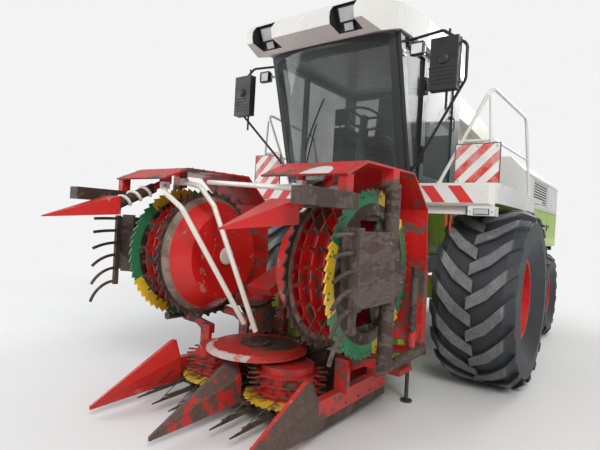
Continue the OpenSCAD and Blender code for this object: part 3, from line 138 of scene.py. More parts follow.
def where_on(t):
    """The place on the machine in metres: x, its size without sign, y from the front axle, z."""
    axes = t.xyz()
    return {"x": axes["X"], "side": t.math("ABSOLUTE", axes["X"]), "y": t.math("SUBTRACT", axes["Y"], Y0),
            "z": axes["Z"], "facing": t.normal()["X"]}


def above(t, value, edge, soft=0.004):
    return t.ramp(value, edge - soft, edge + soft)


def below(t, value, edge, soft=0.004):
    return t.ramp(value, edge - soft, edge + soft, 1.0, 0.0)


def both(t, *masks):
    total = masks[0]
    for mask in masks[1:]:
        total = t.math("MULTIPLY", total, mask)
    return total


def radius(t, a, b, a0, b0):
    a, b = t.math("SUBTRACT", a, a0), t.math("SUBTRACT", b, b0)
    return t.math("SQRT", t.math("ADD", t.math("MULTIPLY", a, a), t.math("MULTIPLY", b, b)))


def group(name, inputs, outputs):
    """A shader node group with float inputs [(name, default)] and outputs [(name, socket type)]."""
    tree = bpy.data.node_groups.new(name, "ShaderNodeTree")
    for label, default in inputs:
        socket = tree.interface.new_socket(label, in_out="INPUT", socket_type="NodeSocketFloat")
        socket.default_value = default
    for label, kind in outputs:
        tree.interface.new_socket(label, in_out="OUTPUT", socket_type=kind)
    t = Tree(tree)
    return t, t.add("NodeGroupInput"), t.add("NodeGroupOutput")


def make_grime():
    """Dust that gathers on upward faces and low down."""
    t, into, out = group("grime", [("Amount", 0.5), ("Low", 1.0)], [("Mask", "NodeSocketFloat")])
    up = t.ramp(t.normal()["Z"], 0.2, 1.0, 0.0, 0.8)
    z = t.xyz()["Z"]
    low = t.math("SUBTRACT", 1.0, t.math("DIVIDE", z, into.outputs["Low"], True), True)
    patch = t.ramp(t.noise(t.place(), 3.1, 5.0, 0.65), 0.35, 0.72, 0.15, 1.0)
    fine = t.ramp(t.noise(t.place(), 42.0, 3.0, 0.6), 0.3, 0.7, 0.6, 1.0)
    total = t.math("ADD", up, low, True)
    total = t.math("MULTIPLY", t.math("MULTIPLY", total, patch), fine)
    total = t.math("MULTIPLY", total, into.outputs["Amount"], True)
    t.tree.links.new(total, out.inputs["Mask"])
    return t.tree


def make_chips():
    """Small sharp-edged patches where paint is gone."""
    t, into, out = group("chips", [("Scale", 12.0), ("Amount", 0.3)], [("Mask", "NodeSocketFloat")])
    where = t.place()
    n = t.add("ShaderNodeTexNoise", {"Vector": where, "Scale": into.outputs["Scale"], "Detail": 8.0,
                                     "Roughness": 0.68}).outputs["Fac"]
    broad = t.noise(where, 1.7, 3.0, 0.6)
    value = t.math("ADD", n, t.math("MULTIPLY", t.math("SUBTRACT", broad, 0.5), 0.7))
    edge = t.math("SUBTRACT", 0.80, t.math("MULTIPLY", into.outputs["Amount"], 0.40))
    value = t.math("SUBTRACT", value, edge)
    mask = t.math("MULTIPLY", value, 28.0, True)
    t.tree.links.new(mask, out.inputs["Mask"])
    return t.tree


def make_streaks():
    """Faint marks that run down a panel."""
    t, into, out = group("streaks", [("Amount", 0.3)], [("Mask", "NodeSocketFloat")])
    n = t.noise(t.place((7.0, 7.0, 0.5)), 2.4, 5.0, 0.62)
    mask = t.math("MULTIPLY", t.ramp(n, 0.48, 0.78), into.outputs["Amount"], True)
    t.tree.links.new(mask, out.inputs["Mask"])
    return t.tree


def make_relief():
    """Fine unevenness of a painted or cast face."""
    t, into, out = group("relief", [("Scale", 60.0), ("Strength", 0.15)], [("Normal", "NodeSocketVector")])
    grain = t.add("ShaderNodeTexNoise", {"Vector": t.place(), "Scale": into.outputs["Scale"], "Detail": 4.0})
    bump = t.add("ShaderNodeBump", {"Height": grain.outputs["Fac"], "Strength": into.outputs["Strength"],
                                    "Distance": 0.004})
    t.tree.links.new(bump.outputs["Normal"], out.inputs["Normal"])
    return t.tree


def make_edges():
    """Rubbed edges: where a rounded normal turns away from the face's own."""
    t, into, out = group("edges", [("Amount", 0.6)], [("Mask", "NodeSocketFloat")])
    soft = t.add("ShaderNodeBevel", {"Radius": 0.011}, samples=4).outputs["Normal"]
    face = t.add("ShaderNodeNewGeometry").outputs["Normal"]
    turn = t.add("ShaderNodeVectorMath", {0: soft, 1: face}, operation="DOT_PRODUCT").outputs["Value"]
    sharp = t.ramp(turn, 0.999, 0.93)
    patch = t.ramp(t.noise(t.place(), 18.0, 6.0, 0.7), 0.40, 0.60)
    mask = t.math("MULTIPLY", t.math("MULTIPLY", sharp, patch), into.outputs["Amount"], True)
    t.tree.links.new(mask, out.inputs["Mask"])
    return t.tree


GRIME, CHIPS, STREAKS, RELIEF, EDGES = make_grime(), make_chips(), make_streaks(), make_relief(), make_edges()


def effect(t, tree, output, **inputs):
    n = t.add("ShaderNodeGroup", node_tree=tree)
    for key, value in inputs.items():
        n.inputs[key.capitalize()].default_value = value
    return n.outputs[output]


def material(name):
    """A new material: (tree, its Principled node)."""
    m = bpy.data.materials.new(name)
    m.use_nodes = True
    m.node_tree.nodes.clear()
    t = Tree(m.node_tree)
    shader = t.add("ShaderNodeBsdfPrincipled")
    output = t.add("ShaderNodeOutputMaterial")
    m.node_tree.links.new(shader.outputs["BSDF"], output.inputs["Surface"])
    return m, t, shader


def connect(t, shader, **inputs):
    names = {"color": "Base Color", "rough": "Roughness", "metal": "Metallic", "normal": "Normal",
             "coat": "Coat Weight", "alpha": "Alpha", "transmission": "Transmission Weight", "ior": "IOR",
             "spec": "Specular IOR Level", "sheen": "Sheen Weight"}
    for key, value in inputs.items():
        socket = shader.inputs[names[key]]
        if isinstance(value, bpy.types.NodeSocket):
            t.tree.links.new(value, socket)
        elif key == "color":
            socket.default_value = (*value, 1.0)
        else:
            socket.default_value = value


def paint(name, color, rough=0.35, chips=0.1, chip_scale=14.0, under=RUST, grime=0.5, low=1.2, streaks=0.2,
          coat=0.3, shade=0.12, relief=0.08, fade=None, fade_amount=0.0):
    """Weathered paint: a base that varies, streaks, chips down to what is under it, dust on top."""
    m, t, shader = material(name)
    where = t.place()
    broad = t.ramp(t.noise(where, 1.3, 4.0, 0.6), 0.3, 0.7)
    dark = tuple(c * (1.0 - shade) for c in color)
    light = tuple(min(c * (1.0 + shade * 0.6), 0.86) for c in color)
    base = t.mix(broad, dark, light)
    if fade:
        bleached = t.ramp(t.noise(where, 5.2, 6.0, 0.7), 0.46, 0.62)
        base = t.mix(t.math("MULTIPLY", bleached, fade_amount), base, fade)
    base = t.mix(effect(t, STREAKS, "Mask", amount=streaks), base, tuple(c * 0.55 for c in color))
    chip = t.math("MAXIMUM", effect(t, CHIPS, "Mask", scale=chip_scale, amount=chips),
                  effect(t, EDGES, "Mask", amount=min(chips * 4.0, 0.8)))
    base = t.mix(chip, base, under)
    dust = effect(t, GRIME, "Mask", amount=grime, low=low)
    base = t.mix(dust, base, DUST)
    gloss = t.math("ADD", t.ramp(t.noise(where, 9.0), 0.3, 0.7, rough - 0.06, rough + 0.10),
                   t.math("MULTIPLY", t.math("ADD", chip, dust, True), 0.42), True)
    clean = t.math("SUBTRACT", 1.0, t.math("ADD", chip, dust, True))
    connect(t, shader, color=base, rough=gloss, coat=t.math("MULTIPLY", clean, coat),
            normal=effect(t, RELIEF, "Normal", scale=55.0, strength=relief))
    return m


def bare(name, color, rough=0.6, metal=0.0, spread=0.35, second=None, scale=7.0, grime=0.3, low=1.0,
         relief=0.3, fine=60.0):
    """An unpainted or worn face: two tones in patches with fine grain."""
    m, t, shader = material(name)
    where = t.place()
    second = second or tuple(c * (1.0 + spread) for c in color)
    tone = t.ramp(t.noise(where, scale, 7.0, 0.7), 0.36, 0.64)
    base = t.mix(tone, color, second)
    grain = t.ramp(t.noise(where, fine * 2.0, 4.0, 0.7), 0.3, 0.7, 0.78, 1.12)
    grain = t.add("ShaderNodeCombineXYZ", {"X": grain, "Y": grain, "Z": grain}).outputs[0]
    base = t.add("ShaderNodeVectorMath", {0: base, 1: grain}, operation="MULTIPLY").outputs[0]
    base = t.mix(effect(t, GRIME, "Mask", amount=grime, low=low), base, DUST)
    connect(t, shader, color=base, rough=t.ramp(tone, 0.0, 1.0, rough - 0.1, rough + 0.1), metal=metal,
            normal=effect(t, RELIEF, "Normal", scale=fine, strength=relief))
    return m


def worn_paint(name, color, worn, amount, scale=6.0, rough=0.42, metal=0.2, grime=0.35):
    """Paint of which a good part has been rubbed down to dull metal."""
    m, t, shader = material(name)
    where = t.place()
    n = t.noise(where, scale, 9.0, 0.66)
    mask = t.ramp(n, 0.62 - amount * 0.3, 0.65 - amount * 0.3)
    tone = t.ramp(t.noise(where, scale * 4.0, 6.0, 0.7), 0.35, 0.68)
    metal_tone = t.mix(tone, worn, tuple(min(c * 2.4 + 0.02, 0.6) for c in worn))
    paint_tone = t.mix(t.ramp(t.noise(where, 2.0), 0.3, 0.7), tuple(c * 0.75 for c in color), color)
    base = t.mix(mask, paint_tone, metal_tone)
    dust = effect(t, GRIME, "Mask", amount=grime, low=1.0)
    base = t.mix(dust, base, DUST)
    connect(t, shader, color=base, rough=t.ramp(mask, 0.0, 1.0, rough, 0.66),
            metal=t.math("MULTIPLY", mask, metal),
            normal=effect(t, RELIEF, "Normal", scale=70.0, strength=0.2))
    return m


def by_region(name, base, layers, grime=0.16, scale=7.0, stretch=(1.0, 1.0, 1.0)):
    """Paint that changes from place to place. A finish is (paint, worn colour, share worn, roughness),
    and a layer is (function from tree and place to mask, finish)."""
    m, t, shader = material(name)
    where = t.place(stretch)
    spot = where_on(t)
    n = t.noise(where, scale, 9.0, 0.68)
    tone = t.ramp(t.noise(where, scale * 4.0, 6.0, 0.7), 0.35, 0.68)
    broad = t.ramp(t.noise(where, 2.0), 0.3, 0.7)
    edge = effect(t, EDGES, "Mask", amount=0.7)

    def finish(paint, worn, amount, rough):
        mask = t.math("MAXIMUM", t.ramp(n, 0.68 - amount * 0.34, 0.71 - amount * 0.34),
                      t.math("MULTIPLY", edge, min(amount * 2.5, 1.0)))
        worn_tone = t.mix(tone, worn, tuple(min(c * 1.7 + 0.01, 0.75) for c in worn))
        color = t.mix(mask, t.mix(broad, tuple(c * 0.78 for c in paint), paint), worn_tone)
        return color, t.ramp(mask, 0.0, 1.0, rough, 0.66)

    color, rough = finish(*base)
    for choose, layer in layers:
        mask = choose(t, spot)
        layer_color, layer_rough = finish(*layer)
        color = t.mix(mask, color, layer_color)
        rough = t.math("ADD", t.math("MULTIPLY", rough, t.math("SUBTRACT", 1.0, mask)),
                       t.math("MULTIPLY", layer_rough, mask))
    color = t.mix(effect(t, GRIME, "Mask", amount=grime, low=0.9), color, DUST)
    connect(t, shader, color=color, rough=rough,
            normal=effect(t, RELIEF, "Normal", scale=70.0, strength=0.18))
    return m


def tyre_material(name, axle_y, axle_z, outer, depth):
    """Rubber, with the tops of the lugs worn grey and grainy."""
    m, t, shader = material(name)
    where = t.place()
    axes = t.xyz()
    r = radius(t, axes["Y"], axes["Z"], axle_y, axle_z)
    top = t.ramp(r, outer - depth * 0.45, outer - depth * 0.12)
    grain = t.ramp(t.noise(where, 120.0, 6.0, 0.8), 0.34, 0.62)
    patch = t.ramp(t.noise(where, 6.0, 5.0, 0.65), 0.3, 0.66, 0.35, 1.0)
    worn = t.math("MULTIPLY", t.math("MULTIPLY", top, grain), patch)
    side = t.ramp(t.noise(where, 2.2, 5.0, 0.6), 0.3, 0.7)
    base = t.mix(side, (0.018, 0.020, 0.024), (0.034, 0.037, 0.043))
    base = t.mix(t.math("MULTIPLY", worn, 0.8), base, (0.36, 0.37, 0.38))
    scuff = t.ramp(t.noise(t.place((1.0, 1.0, 1.0), (3.0, 1.0, 2.0)), 26.0, 7.0, 0.75), 0.55, 0.75, 0.0, 0.35)
    base = t.mix(scuff, base, (0.12, 0.12, 0.12))
    connect(t, shader, color=base, rough=t.ramp(worn, 0.0, 1.0, 0.58, 0.86),
            normal=effect(t, RELIEF, "Normal", scale=140.0, strength=0.35))
    return m


def glass_material():
    m, t, shader = material("cab_glass")
    where = t.place()
    smear = t.ramp(t.noise(where, 2.6, 6.0, 0.7), 0.4, 0.8, 0.02, 0.16)
    tint = t.mix(t.ramp(t.noise(where, 0.9), 0.3, 0.7), (0.035, 0.05, 0.047), (0.10, 0.13, 0.125))
    clear = t.ramp(t.noise(where, 1.8, 5.0), 0.3, 0.8, 0.30, 0.44)
    connect(t, shader, color=tint, rough=smear, alpha=clear, ior=1.5)
    return m


def stripe_material():
    """White board with broad red stripes that rise to the right, faded in places."""
    m, t, shader = material("board_stripes")
    axes = t.xyz()
    along = t.math("SUBTRACT", t.math("MULTIPLY", axes["X"], 0.707), t.math("MULTIPLY", axes["Z"], 0.707))
    band = t.math("FRACT", t.math("ADD", t.math("DIVIDE", along, 0.145), 40.22))
    red = t.math("LESS_THAN", band, 0.5)
    fade = t.ramp(t.noise(t.place(), 3.4, 5.0, 0.7), 0.42, 0.66, 1.0, 0.45)
    white = t.mix(t.ramp(t.noise(t.place(), 7.0, 5.0), 0.3, 0.7), (0.66, 0.66, 0.63), (0.80, 0.80, 0.78))
    base = t.mix(t.math("MULTIPLY", red, fade), white, (0.60, 0.035, 0.025))
    base = t.mix(effect(t, CHIPS, "Mask", scale=22.0, amount=0.12), base, (0.35, 0.30, 0.26))
    base = t.mix(effect(t, GRIME, "Mask", amount=0.35, low=1.0), base, DUST)
    connect(t, shader, color=base, rough=0.42, normal=effect(t, RELIEF, "Normal", scale=30.0, strength=0.05))
    return m


def fabric_material():
    m, t, shader = material("seat_fabric")
    axes = t.xyz()
    weave = t.math("MULTIPLY", t.math("SINE", t.math("MULTIPLY", axes["X"], 1600.0)),
                   t.math("SINE", t.math("MULTIPLY", axes["Z"], 1600.0)))
    tone = t.math("ADD", t.math("MULTIPLY", weave, 0.25), t.ramp(t.noise(t.place(), 5.0), 0.3, 0.7), True)
    base = t.mix(tone, (0.035, 0.038, 0.043), (0.085, 0.09, 0.10))
    bump = t.add("ShaderNodeBump", {"Height": weave, "Strength": 0.3, "Distance": 0.001})
    connect(t, shader, color=base, rough=0.9, sheen=0.3, normal=bump.outputs["Normal"])
    return m


def lens_material(name, color, rough=0.08):
    m, t, shader = material(name)
    axes = t.xyz()
    ribs = t.math("SINE", t.math("MULTIPLY", axes["X"], 700.0))
    bump = t.add("ShaderNodeBump", {"Height": ribs, "Strength": 0.5, "Distance": 0.002})
    base = t.mix(t.ramp(t.noise(t.place(), 12.0), 0.3, 0.7), tuple(c * 0.85 for c in color), color)
    connect(t, shader, color=base, rough=rough, transmission=0.35, coat=0.6, normal=bump.outputs["Normal"])
    return m


MAT = {
    "frame_black": paint("frame_black", (0.013, 0.014, 0.016), rough=0.40, chips=0.06, grime=0.25,
                         streaks=0.1, under=(0.06, 0.05, 0.045)),
    "machine_green": paint("machine_green", GREEN, rough=0.34, chips=0.10, grime=0.55, low=1.1,
                           streaks=0.35, under=(0.12, 0.07, 0.03)),
    "body_white": paint("body_white", WHITE, rough=0.30, chips=0.03, grime=0.18, low=0.8,
                        streaks=0.05, shade=0.05, under=(0.4, 0.37, 0.32)),
    "board_white": stripe_material(),
    "engine_grey": bare("engine_grey", (0.06, 0.062, 0.065), rough=0.6, grime=0.5, low=1.6),
    "lamp_clear": lens_material("lamp_clear", (0.84, 0.86, 0.88)),
    "cab_glass": glass_material(),
    "seat_fabric": fabric_material(),
    "trim_black": bare("trim_black", (0.010, 0.0105, 0.0115), rough=0.55, spread=0.5, grime=0.12,
                       relief=0.15, fine=120.0),
    "spout_white": paint("spout_white", SPOUT_WHITE, rough=0.42, chips=0.08, grime=0.25,
                         streaks=0.2, shade=0.1, under=(0.3, 0.24, 0.18)),
    "ram_steel": bare("ram_steel", (0.62, 0.62, 0.63), rough=0.2, metal=1.0, spread=0.1,
                      relief=0.05, grime=0.1),
    "header_red": paint("header_red", RED, rough=0.26, chips=0.16, grime=0.45, low=0.9, streaks=0.25,
                        coat=0.6, shade=0.22, under=(0.10, 0.05, 0.035), fade=(0.62, 0.13, 0.10),
                        fade_amount=0.35),
    "header_worn": worn_paint("header_worn", (0.36, 0.02, 0.014), (0.055, 0.028, 0.019), 0.62),
    "knife_green": paint("knife_green", KNIFE_GREEN, rough=0.34, chips=0.30, chip_scale=9.0,
                         under=(0.50, 0.50, 0.48), grime=0.25, streaks=0.1),
    "rim_red": paint("rim_red", RIM_RED, rough=0.30, chips=0.05, grime=0.35, low=0.9, streaks=0.1, coat=0.5),
}
BROWNED = (BROWN, (0.052, 0.034, 0.026), 0.5, 0.62)
RUBBED_RED = (RED, (0.075, 0.048, 0.038), 0.42, 0.34)
CLEAN_RED = (RED, (0.30, 0.10, 0.08), 0.16, 0.26)
ROTOR = (ROTOR_Y / 1000, ROTOR_Z / 1000)


def rotor_radius(t, p):
    return radius(t, p["y"], p["z"], *ROTOR)


def ring_segment(t, p):
    turn = t.math("ARCTAN2", t.math("SUBTRACT", p["y"], ROTOR[0]), t.math("SUBTRACT", p["z"], ROTOR[1]))
    turned = t.math("MULTIPLY", t.math("LESS_THAN", p["x"], 0.0), 0.4)
    band = t.math("FRACT", t.math("ADD", t.math("DIVIDE", turn, 2.0944), t.math("ADD", turned, 10.958)))
    return both(t, t.math("LESS_THAN", band, 0.40), above(t, rotor_radius(t, p), 0.515))


def dish(t, p, low, high, y0=DISH_Y / 1000, x0=0.0):
    """A band of the dish between two radii, with an uneven edge."""
    rough = t.math("MULTIPLY", t.math("SUBTRACT", t.noise(t.place(), 9.0, 6.0, 0.7), 0.5), 0.16)
    r = t.math("ADD", radius(t, p["x"], p["y"], x0, y0), rough)
    return both(t, above(t, p["z"], 0.49), below(t, p["z"], 0.56), above(t, r, low), below(t, r, high))


SPECIAL = {
    "knife_ring": by_region("ring_paint", (BROWN, (0.10, 0.085, 0.07), 0.45, 0.5), [
        (lambda t, p: above(t, rotor_radius(t, p), 0.515), (KNIFE_GREEN, (0.36, 0.40, 0.36), 0.10, 0.34)),
        (ring_segment, (YELLOW, (0.45, 0.38, 0.20), 0.10, 0.36))]),
    "wing_frame": by_region("wing_paint", (BROWN, (0.058, 0.040, 0.031), 0.55, 0.6), [
        (lambda t, p: both(t, above(t, p["side"], 1.23), above(t, p["z"], 1.0), below(t, p["z"], 1.6),
                           below(t, p["y"], -2.3)),
         ((0.055, 0.014, 0.011), (0.060, 0.042, 0.034), 0.62, 0.45)),
        (lambda t, p: both(t, above(t, rotor_radius(t, p), 0.66), above(t, p["z"], 0.66)), RUBBED_RED),
        (lambda t, p: both(t, below(t, p["z"], 0.65), below(t, p["side"], 1.12)), RUBBED_RED)],
        stretch=(1.0, 0.35, 1.6)),
    "wing_points": by_region("points_paint", BROWNED, [
        (lambda t, p: both(t, below(t, p["side"], 1.06), below(t, p["y"], -3.145)), CLEAN_RED),
        (lambda t, p: both(t, below(t, p["side"], 1.0), above(t, p["y"], -3.15), below(t, p["y"], -2.79)),
         (BROWN, (0.10, 0.075, 0.06), 0.35, 0.5)),
        (lambda t, p: both(t, below(t, p["side"], 1.0), above(t, p["y"], -2.79)), RUBBED_RED)]),
    "wing_rotor": by_region("rotor_paint", CLEAN_RED, [
        # The pale band round the drum's outer rim, where its bolts sit, is rubbed paint made paler as a
        # painted highlight.
        (lambda t, p: above(t, rotor_radius(t, p), 0.502),
         ((0.30, 0.22, 0.18), (0.12, 0.08, 0.06), 0.6, 0.5)),
        (lambda t, p: above(t, rotor_radius(t, p), 0.543), BROWNED),
        (lambda t, p: both(t, above(t, p["side"], 0.74), above(t, rotor_radius(t, p), 0.40)), RUBBED_RED),
        (lambda t, p: both(t, above(t, p["side"], 0.74), above(t, rotor_radius(t, p), 0.53, 0.03)),
         BROWNED)]),
    "header_frame": by_region("header_paint", RUBBED_RED, [
        (lambda t, p: dish(t, p, -1.0, 0.5), (RED, (0.40, 0.20, 0.17), 0.14, 0.26)),
        (lambda t, p: dish(t, p, -1.0, 0.25, -2.20, 0.06), (BROWN, (0.07, 0.045, 0.035), 0.3, 0.5)),
        (lambda t, p: both(t, dish(t, p, 0.37, 0.6), below(t, p["y"], -2.36), below(t, p["x"], 0.22)),
         ((0.60, 0.56, 0.54), (0.45, 0.12, 0.10), 0.5, 0.4)),
        (lambda t, p: below(t, p["z"], 0.155), BROWNED)], grime=0.25),
    "header_dividers": by_region("divider_paint", CLEAN_RED, [
        (lambda t, p: both(t, above(t, p["x"], -0.4), below(t, p["x"], 0.4)),
         (DARK_RED, (0.050, 0.030, 0.022), 0.95, 0.5)),
        (lambda t, p: both(t, above(t, p["x"], -0.4), below(t, p["x"], 0.4), above(t, p["facing"], 0.3)),
         (RED, (0.060, 0.034, 0.025), 0.62, 0.4)),
        (lambda t, p: above(t, p["x"], 0.4), (RED, (0.36, 0.10, 0.09), 0.30, 0.32)),
        (lambda t, p: both(t, above(t, p["x"], 0.4), above(t, p["facing"], 0.3)),
         (DARK_RED, (0.055, 0.034, 0.026), 0.9, 0.5))]),
    "small_rotor": by_region("small_rotor_paint", RUBBED_RED, [
        (lambda t, p: above(t, radius(t, p["side"], p["y"], 0.365, -2.32), 0.285),
         (DARK_RED, (0.05, 0.03, 0.022), 0.7, 0.5)),
        (lambda t, p: both(t, below(t, p["z"], 0.212), below(t, p["y"], -2.44)),
         (YELLOW, (0.10, 0.07, 0.04), 0.35, 0.4)),
        (lambda t, p: both(t, below(t, p["z"], 0.212), above(t, p["y"], -2.44)),
         (KNIFE_GREEN, BROWN, 0.4, 0.4))]),
    "feed_drum": by_region("feed_drum_paint", (DARK_RED, (0.06, 0.035, 0.026), 0.75, 0.5), [
        (lambda t, p: above(t, p["z"], 0.86), CLEAN_RED)]),
}
TYRES = {
    "front": tyre_material("tyre_front", FRONT_Y / 1000 + Y0, FRONT_Z / 1000, FRONT_Z / 1000, 0.048),
    "rear": tyre_material("tyre_rear", REAR_Y / 1000 + Y0, REAR_Z / 1000, REAR_Z / 1000, 0.036),
}

for entry in frame["record"]["subparts"]:
    node, slot = entry["node"], entry["material_slot"]
    obj = frame["nodes"][node]
    chosen = TYRES[node.split("_")[0]] if slot == "tyre" else MAT[slot]
    chosen = SPECIAL.get(node.replace("_left", "").replace("_right", ""), chosen)
    for s in obj.material_slots:
        s.material = chosen


# Mesh tools. Points are in millimetres in the machine's own frame: x across, y back from the front axle,
# and z up.

def mm(x, y, z):
    return Vector((x / 1000.0, y / 1000.0 + Y0, z / 1000.0))


def side_of(axis):
    """Two directions square to an axis."""
    axis = Vector(axis).normalized()
    a = axis.orthogonal().normalized() if abs(axis.z) > 0.9 else axis.cross(Vector((0, 0, 1))).normalized()
    return a, axis.cross(a).normalized()


# Repeats. Each Geometry Nodes tree adds its copies to the geometry that comes in; its sizes are in metres.

def rule(name, sizes):
    """A Geometry Nodes tree with named inputs [(name, default)]: (tree, its inputs, its output)."""
    tree = bpy.data.node_groups.new(name, "GeometryNodeTree")
    kinds = {int: "NodeSocketInt", float: "NodeSocketFloat", bool: "NodeSocketBool",
             tuple: "NodeSocketVector"}
    tree.interface.new_socket("Geometry", in_out="OUTPUT", socket_type="NodeSocketGeometry")
    tree.interface.new_socket("Geometry", in_out="INPUT", socket_type="NodeSocketGeometry")
    for label, default in sizes:
        socket = tree.interface.new_socket(label, in_out="INPUT", socket_type=kinds[type(default)])
        socket.default_value = default
    tree.interface.new_socket("Material", in_out="INPUT", socket_type="NodeSocketMaterial")
    t = Tree(tree)
    return t, t.add("NodeGroupInput").outputs, t.add("NodeGroupOutput")


def together(t, *parts):
    """Several geometries as one."""
    join = t.add("GeometryNodeJoinGeometry")
    for part in parts:
        t.tree.links.new(part, join.inputs[0])
    return join.outputs[0]


def close(t, given, out, *parts):
    """The end of a tree: its parts are made real and get their material."""
    real = t.add("GeometryNodeRealizeInstances", {"Geometry": together(t, *parts)}).outputs[0]
    values = {"Geometry": real, "Material": given["Material"]}
    t.tree.links.new(t.add("GeometryNodeSetMaterial", values).outputs[0], out.inputs[0])
    return t.tree


def moved(t, geometry, place=(0.0, 0.0, 0.0), turn=(0.0, 0.0, 0.0)):
    values = {"Geometry": geometry, "Translation": place, "Rotation": turn}
    return t.add("GeometryNodeTransform", values).outputs[0]


def facing(t, direction):
    """The turn that brings a shape's own z axis onto a direction."""
    return t.add("FunctionNodeAlignRotationToVector", {"Vector": direction}, axis="Z").outputs[0]


def spun(t, seed):
    """Each head stands at its own turn, as the spanner left it."""
    turn = t.add("FunctionNodeRandomValue", {2: 0.0, 3: math.pi / 3, "Seed": seed}, data_type="FLOAT")
    return t.upward(turn.outputs[1])


def aimed(t, direction, seed):
    """A head's turn: it stands along a direction and is spun about it."""
    values = {"Rotation": facing(t, direction), "Rotate By": spun(t, seed)}
    return t.add("FunctionNodeRotateRotation", values, rotation_space="LOCAL").outputs[0]


def line_of(t, count, gap, first=(0.0, 0.0, 0.0)):
    """Points in a straight line."""
    values = {"Count": count, "Offset": gap, "Start Location": first}
    return t.add("GeometryNodeMeshLine", values).outputs[0]


def placed(t, points, thing, turn=(0.0, 0.0, 0.0)):
    """A copy of a thing on each point."""
    values = {"Points": points, "Instance": thing, "Rotation": turn}
    return t.add("GeometryNodeInstanceOnPoints", values).outputs[0]


def step(t, sides, low, high, wide, top):
    """One step of a turned shape, from height low to high, with its radius below and above."""
    cone = t.add("GeometryNodeMeshCone", {"Vertices": sides, "Radius Bottom": wide, "Radius Top": top,
                                          "Depth": t.math("SUBTRACT", high, low)})
    return moved(t, cone.outputs["Mesh"], t.upward(low))


def bolt_parts(t, r, h):
    """A washer, a six-sided head with a chamfered top, and the end of the thread."""
    washer = 0.0019
    top = t.math("ADD", h, washer)
    shoulder = t.math("ADD", t.math("MULTIPLY", h, 0.75), washer)
    end = t.math("ADD", top, t.math("MULTIPLY", r, 0.42))
    r = {part: t.math("MULTIPLY", r, part) for part in (1.35, 1.25, 1.0, 0.84, 0.45, 0.32)}
    return together(t, step(t, 16, -0.0003, washer, r[1.35], r[1.25]),
                    step(t, 6, 0.0015, shoulder, r[1.0], r[1.0]),
                    step(t, 6, shoulder, top, r[1.0], r[0.84]), step(t, 8, top, end, r[0.45], r[0.32]))


def stud_parts(t, r, h):
    """A low round head."""
    half = t.math("MULTIPLY", h, 0.45)
    return together(t, step(t, 12, -0.0005, half, r, r),
                    step(t, 12, half, h, r, t.math("MULTIPLY", r, 0.6)))


HEAD = [("Head Radius", 0.008), ("Head Height", 0.006), ("Seed", 1)]


def make_ring(name, parts):
    """Heads round a circle."""
    t, given, out = rule(name, [("Count", 12), ("Ring Radius", 0.1), ("Start", 0.0),
                                ("Centre", (0.0, 0.0, 0.0)), ("Facing", (0.0, 0.0, 1.0))] + HEAD)
    circle = t.add("GeometryNodeMeshCircle", {"Vertices": given["Count"], "Radius": given["Ring Radius"]})
    one = parts(t, given["Head Radius"], given["Head Height"])
    heads = placed(t, circle.outputs[0], one, spun(t, given["Seed"]))
    heads = moved(t, heads, turn=t.upward(given["Start"]))
    heads = moved(t, heads, given["Centre"], facing(t, given["Facing"]))
    return close(t, given, out, given["Geometry"], heads)


def make_rows(name, parts):
    """Heads in straight rows."""
    t, given, out = rule(name, [("Count", 4), ("Step", (0.0, 0.1, 0.0)), ("Rows", 1),
                                ("Row Step", (0.0, 0.0, 0.1)), ("First", (0.0, 0.0, 0.0)),
                                ("Facing", (0.0, 0.0, 1.0))] + HEAD)
    rows = line_of(t, given["Rows"], given["Row Step"], given["First"])
    places = placed(t, rows, line_of(t, given["Count"], given["Step"]))
    places = t.add("GeometryNodeRealizeInstances", {"Geometry": places}).outputs[0]
    one = parts(t, given["Head Radius"], given["Head Height"])
    heads = placed(t, places, one, aimed(t, given["Facing"], given["Seed"]))
    return close(t, given, out, given["Geometry"], heads)


def make_path(name, parts):
    """Heads along the paths that come in, each square to its path and to the machine's width."""
    t, given, out = rule(name, [("Pitch", 0.1)] + HEAD)
    path = t.add("GeometryNodeMeshToCurve", {"Mesh": given["Geometry"]}).outputs[0]
    path = t.add("GeometryNodeResampleCurve", {"Curve": path, "Length": given["Pitch"]}, mode="LENGTH")
    along = t.add("GeometryNodeInputTangent").outputs[0]
    away = t.add("ShaderNodeVectorMath", {0: (1.0, 0.0, 0.0), 1: along}, operation="CROSS_PRODUCT")
    one = parts(t, given["Head Radius"], given["Head Height"])
    heads = placed(t, path.outputs[0], one, aimed(t, away.outputs[0], given["Seed"]))
    return close(t, given, out, heads)


def make_bars():
    """Straight bars side by side."""
    t, given, out = rule("bars", [("Count", 10), ("Step", (0.0, 0.02, 0.0)), ("First", (0.0, 0.0, 0.0)),
                                  ("Bar Size", (0.002, 0.002, 0.3))])
    line = line_of(t, given["Count"], given["Step"], given["First"])
    bar = t.add("GeometryNodeMeshCube", {"Size": given["Bar Size"]}).outputs[0]
    return close(t, given, out, given["Geometry"], placed(t, line, bar))


def make_spiral():
    """A round bar wound about a straight line."""
    t, given, out = rule("spiral", [("Turns", 2.5), ("Radius", 0.047), ("Length", 0.4),
                                    ("Bar Radius", 0.007), ("Start", (0.0, 0.0, 0.0)),
                                    ("Along", (0.0, 0.0, 1.0)), ("Turn", 0.0), ("Reverse", False)])
    line = t.add("GeometryNodeCurveSpiral", {
        "Resolution": 24, "Rotations": given["Turns"], "Start Radius": given["Radius"],
        "End Radius": given["Radius"], "Height": given["Length"], "Reverse": given["Reverse"]})
    section = t.add("GeometryNodeCurvePrimitiveCircle", {"Resolution": 8, "Radius": given["Bar Radius"]},
                    mode="RADIUS")
    bar = t.add("GeometryNodeCurveToMesh", {"Curve": line.outputs[0], "Profile Curve": section.outputs[0],
                                            "Fill Caps": True})
    bar = moved(t, bar.outputs[0], turn=t.upward(given["Turn"]))
    bar = moved(t, bar, given["Start"], facing(t, given["Along"]))
    return close(t, given, out, given["Geometry"], bar)


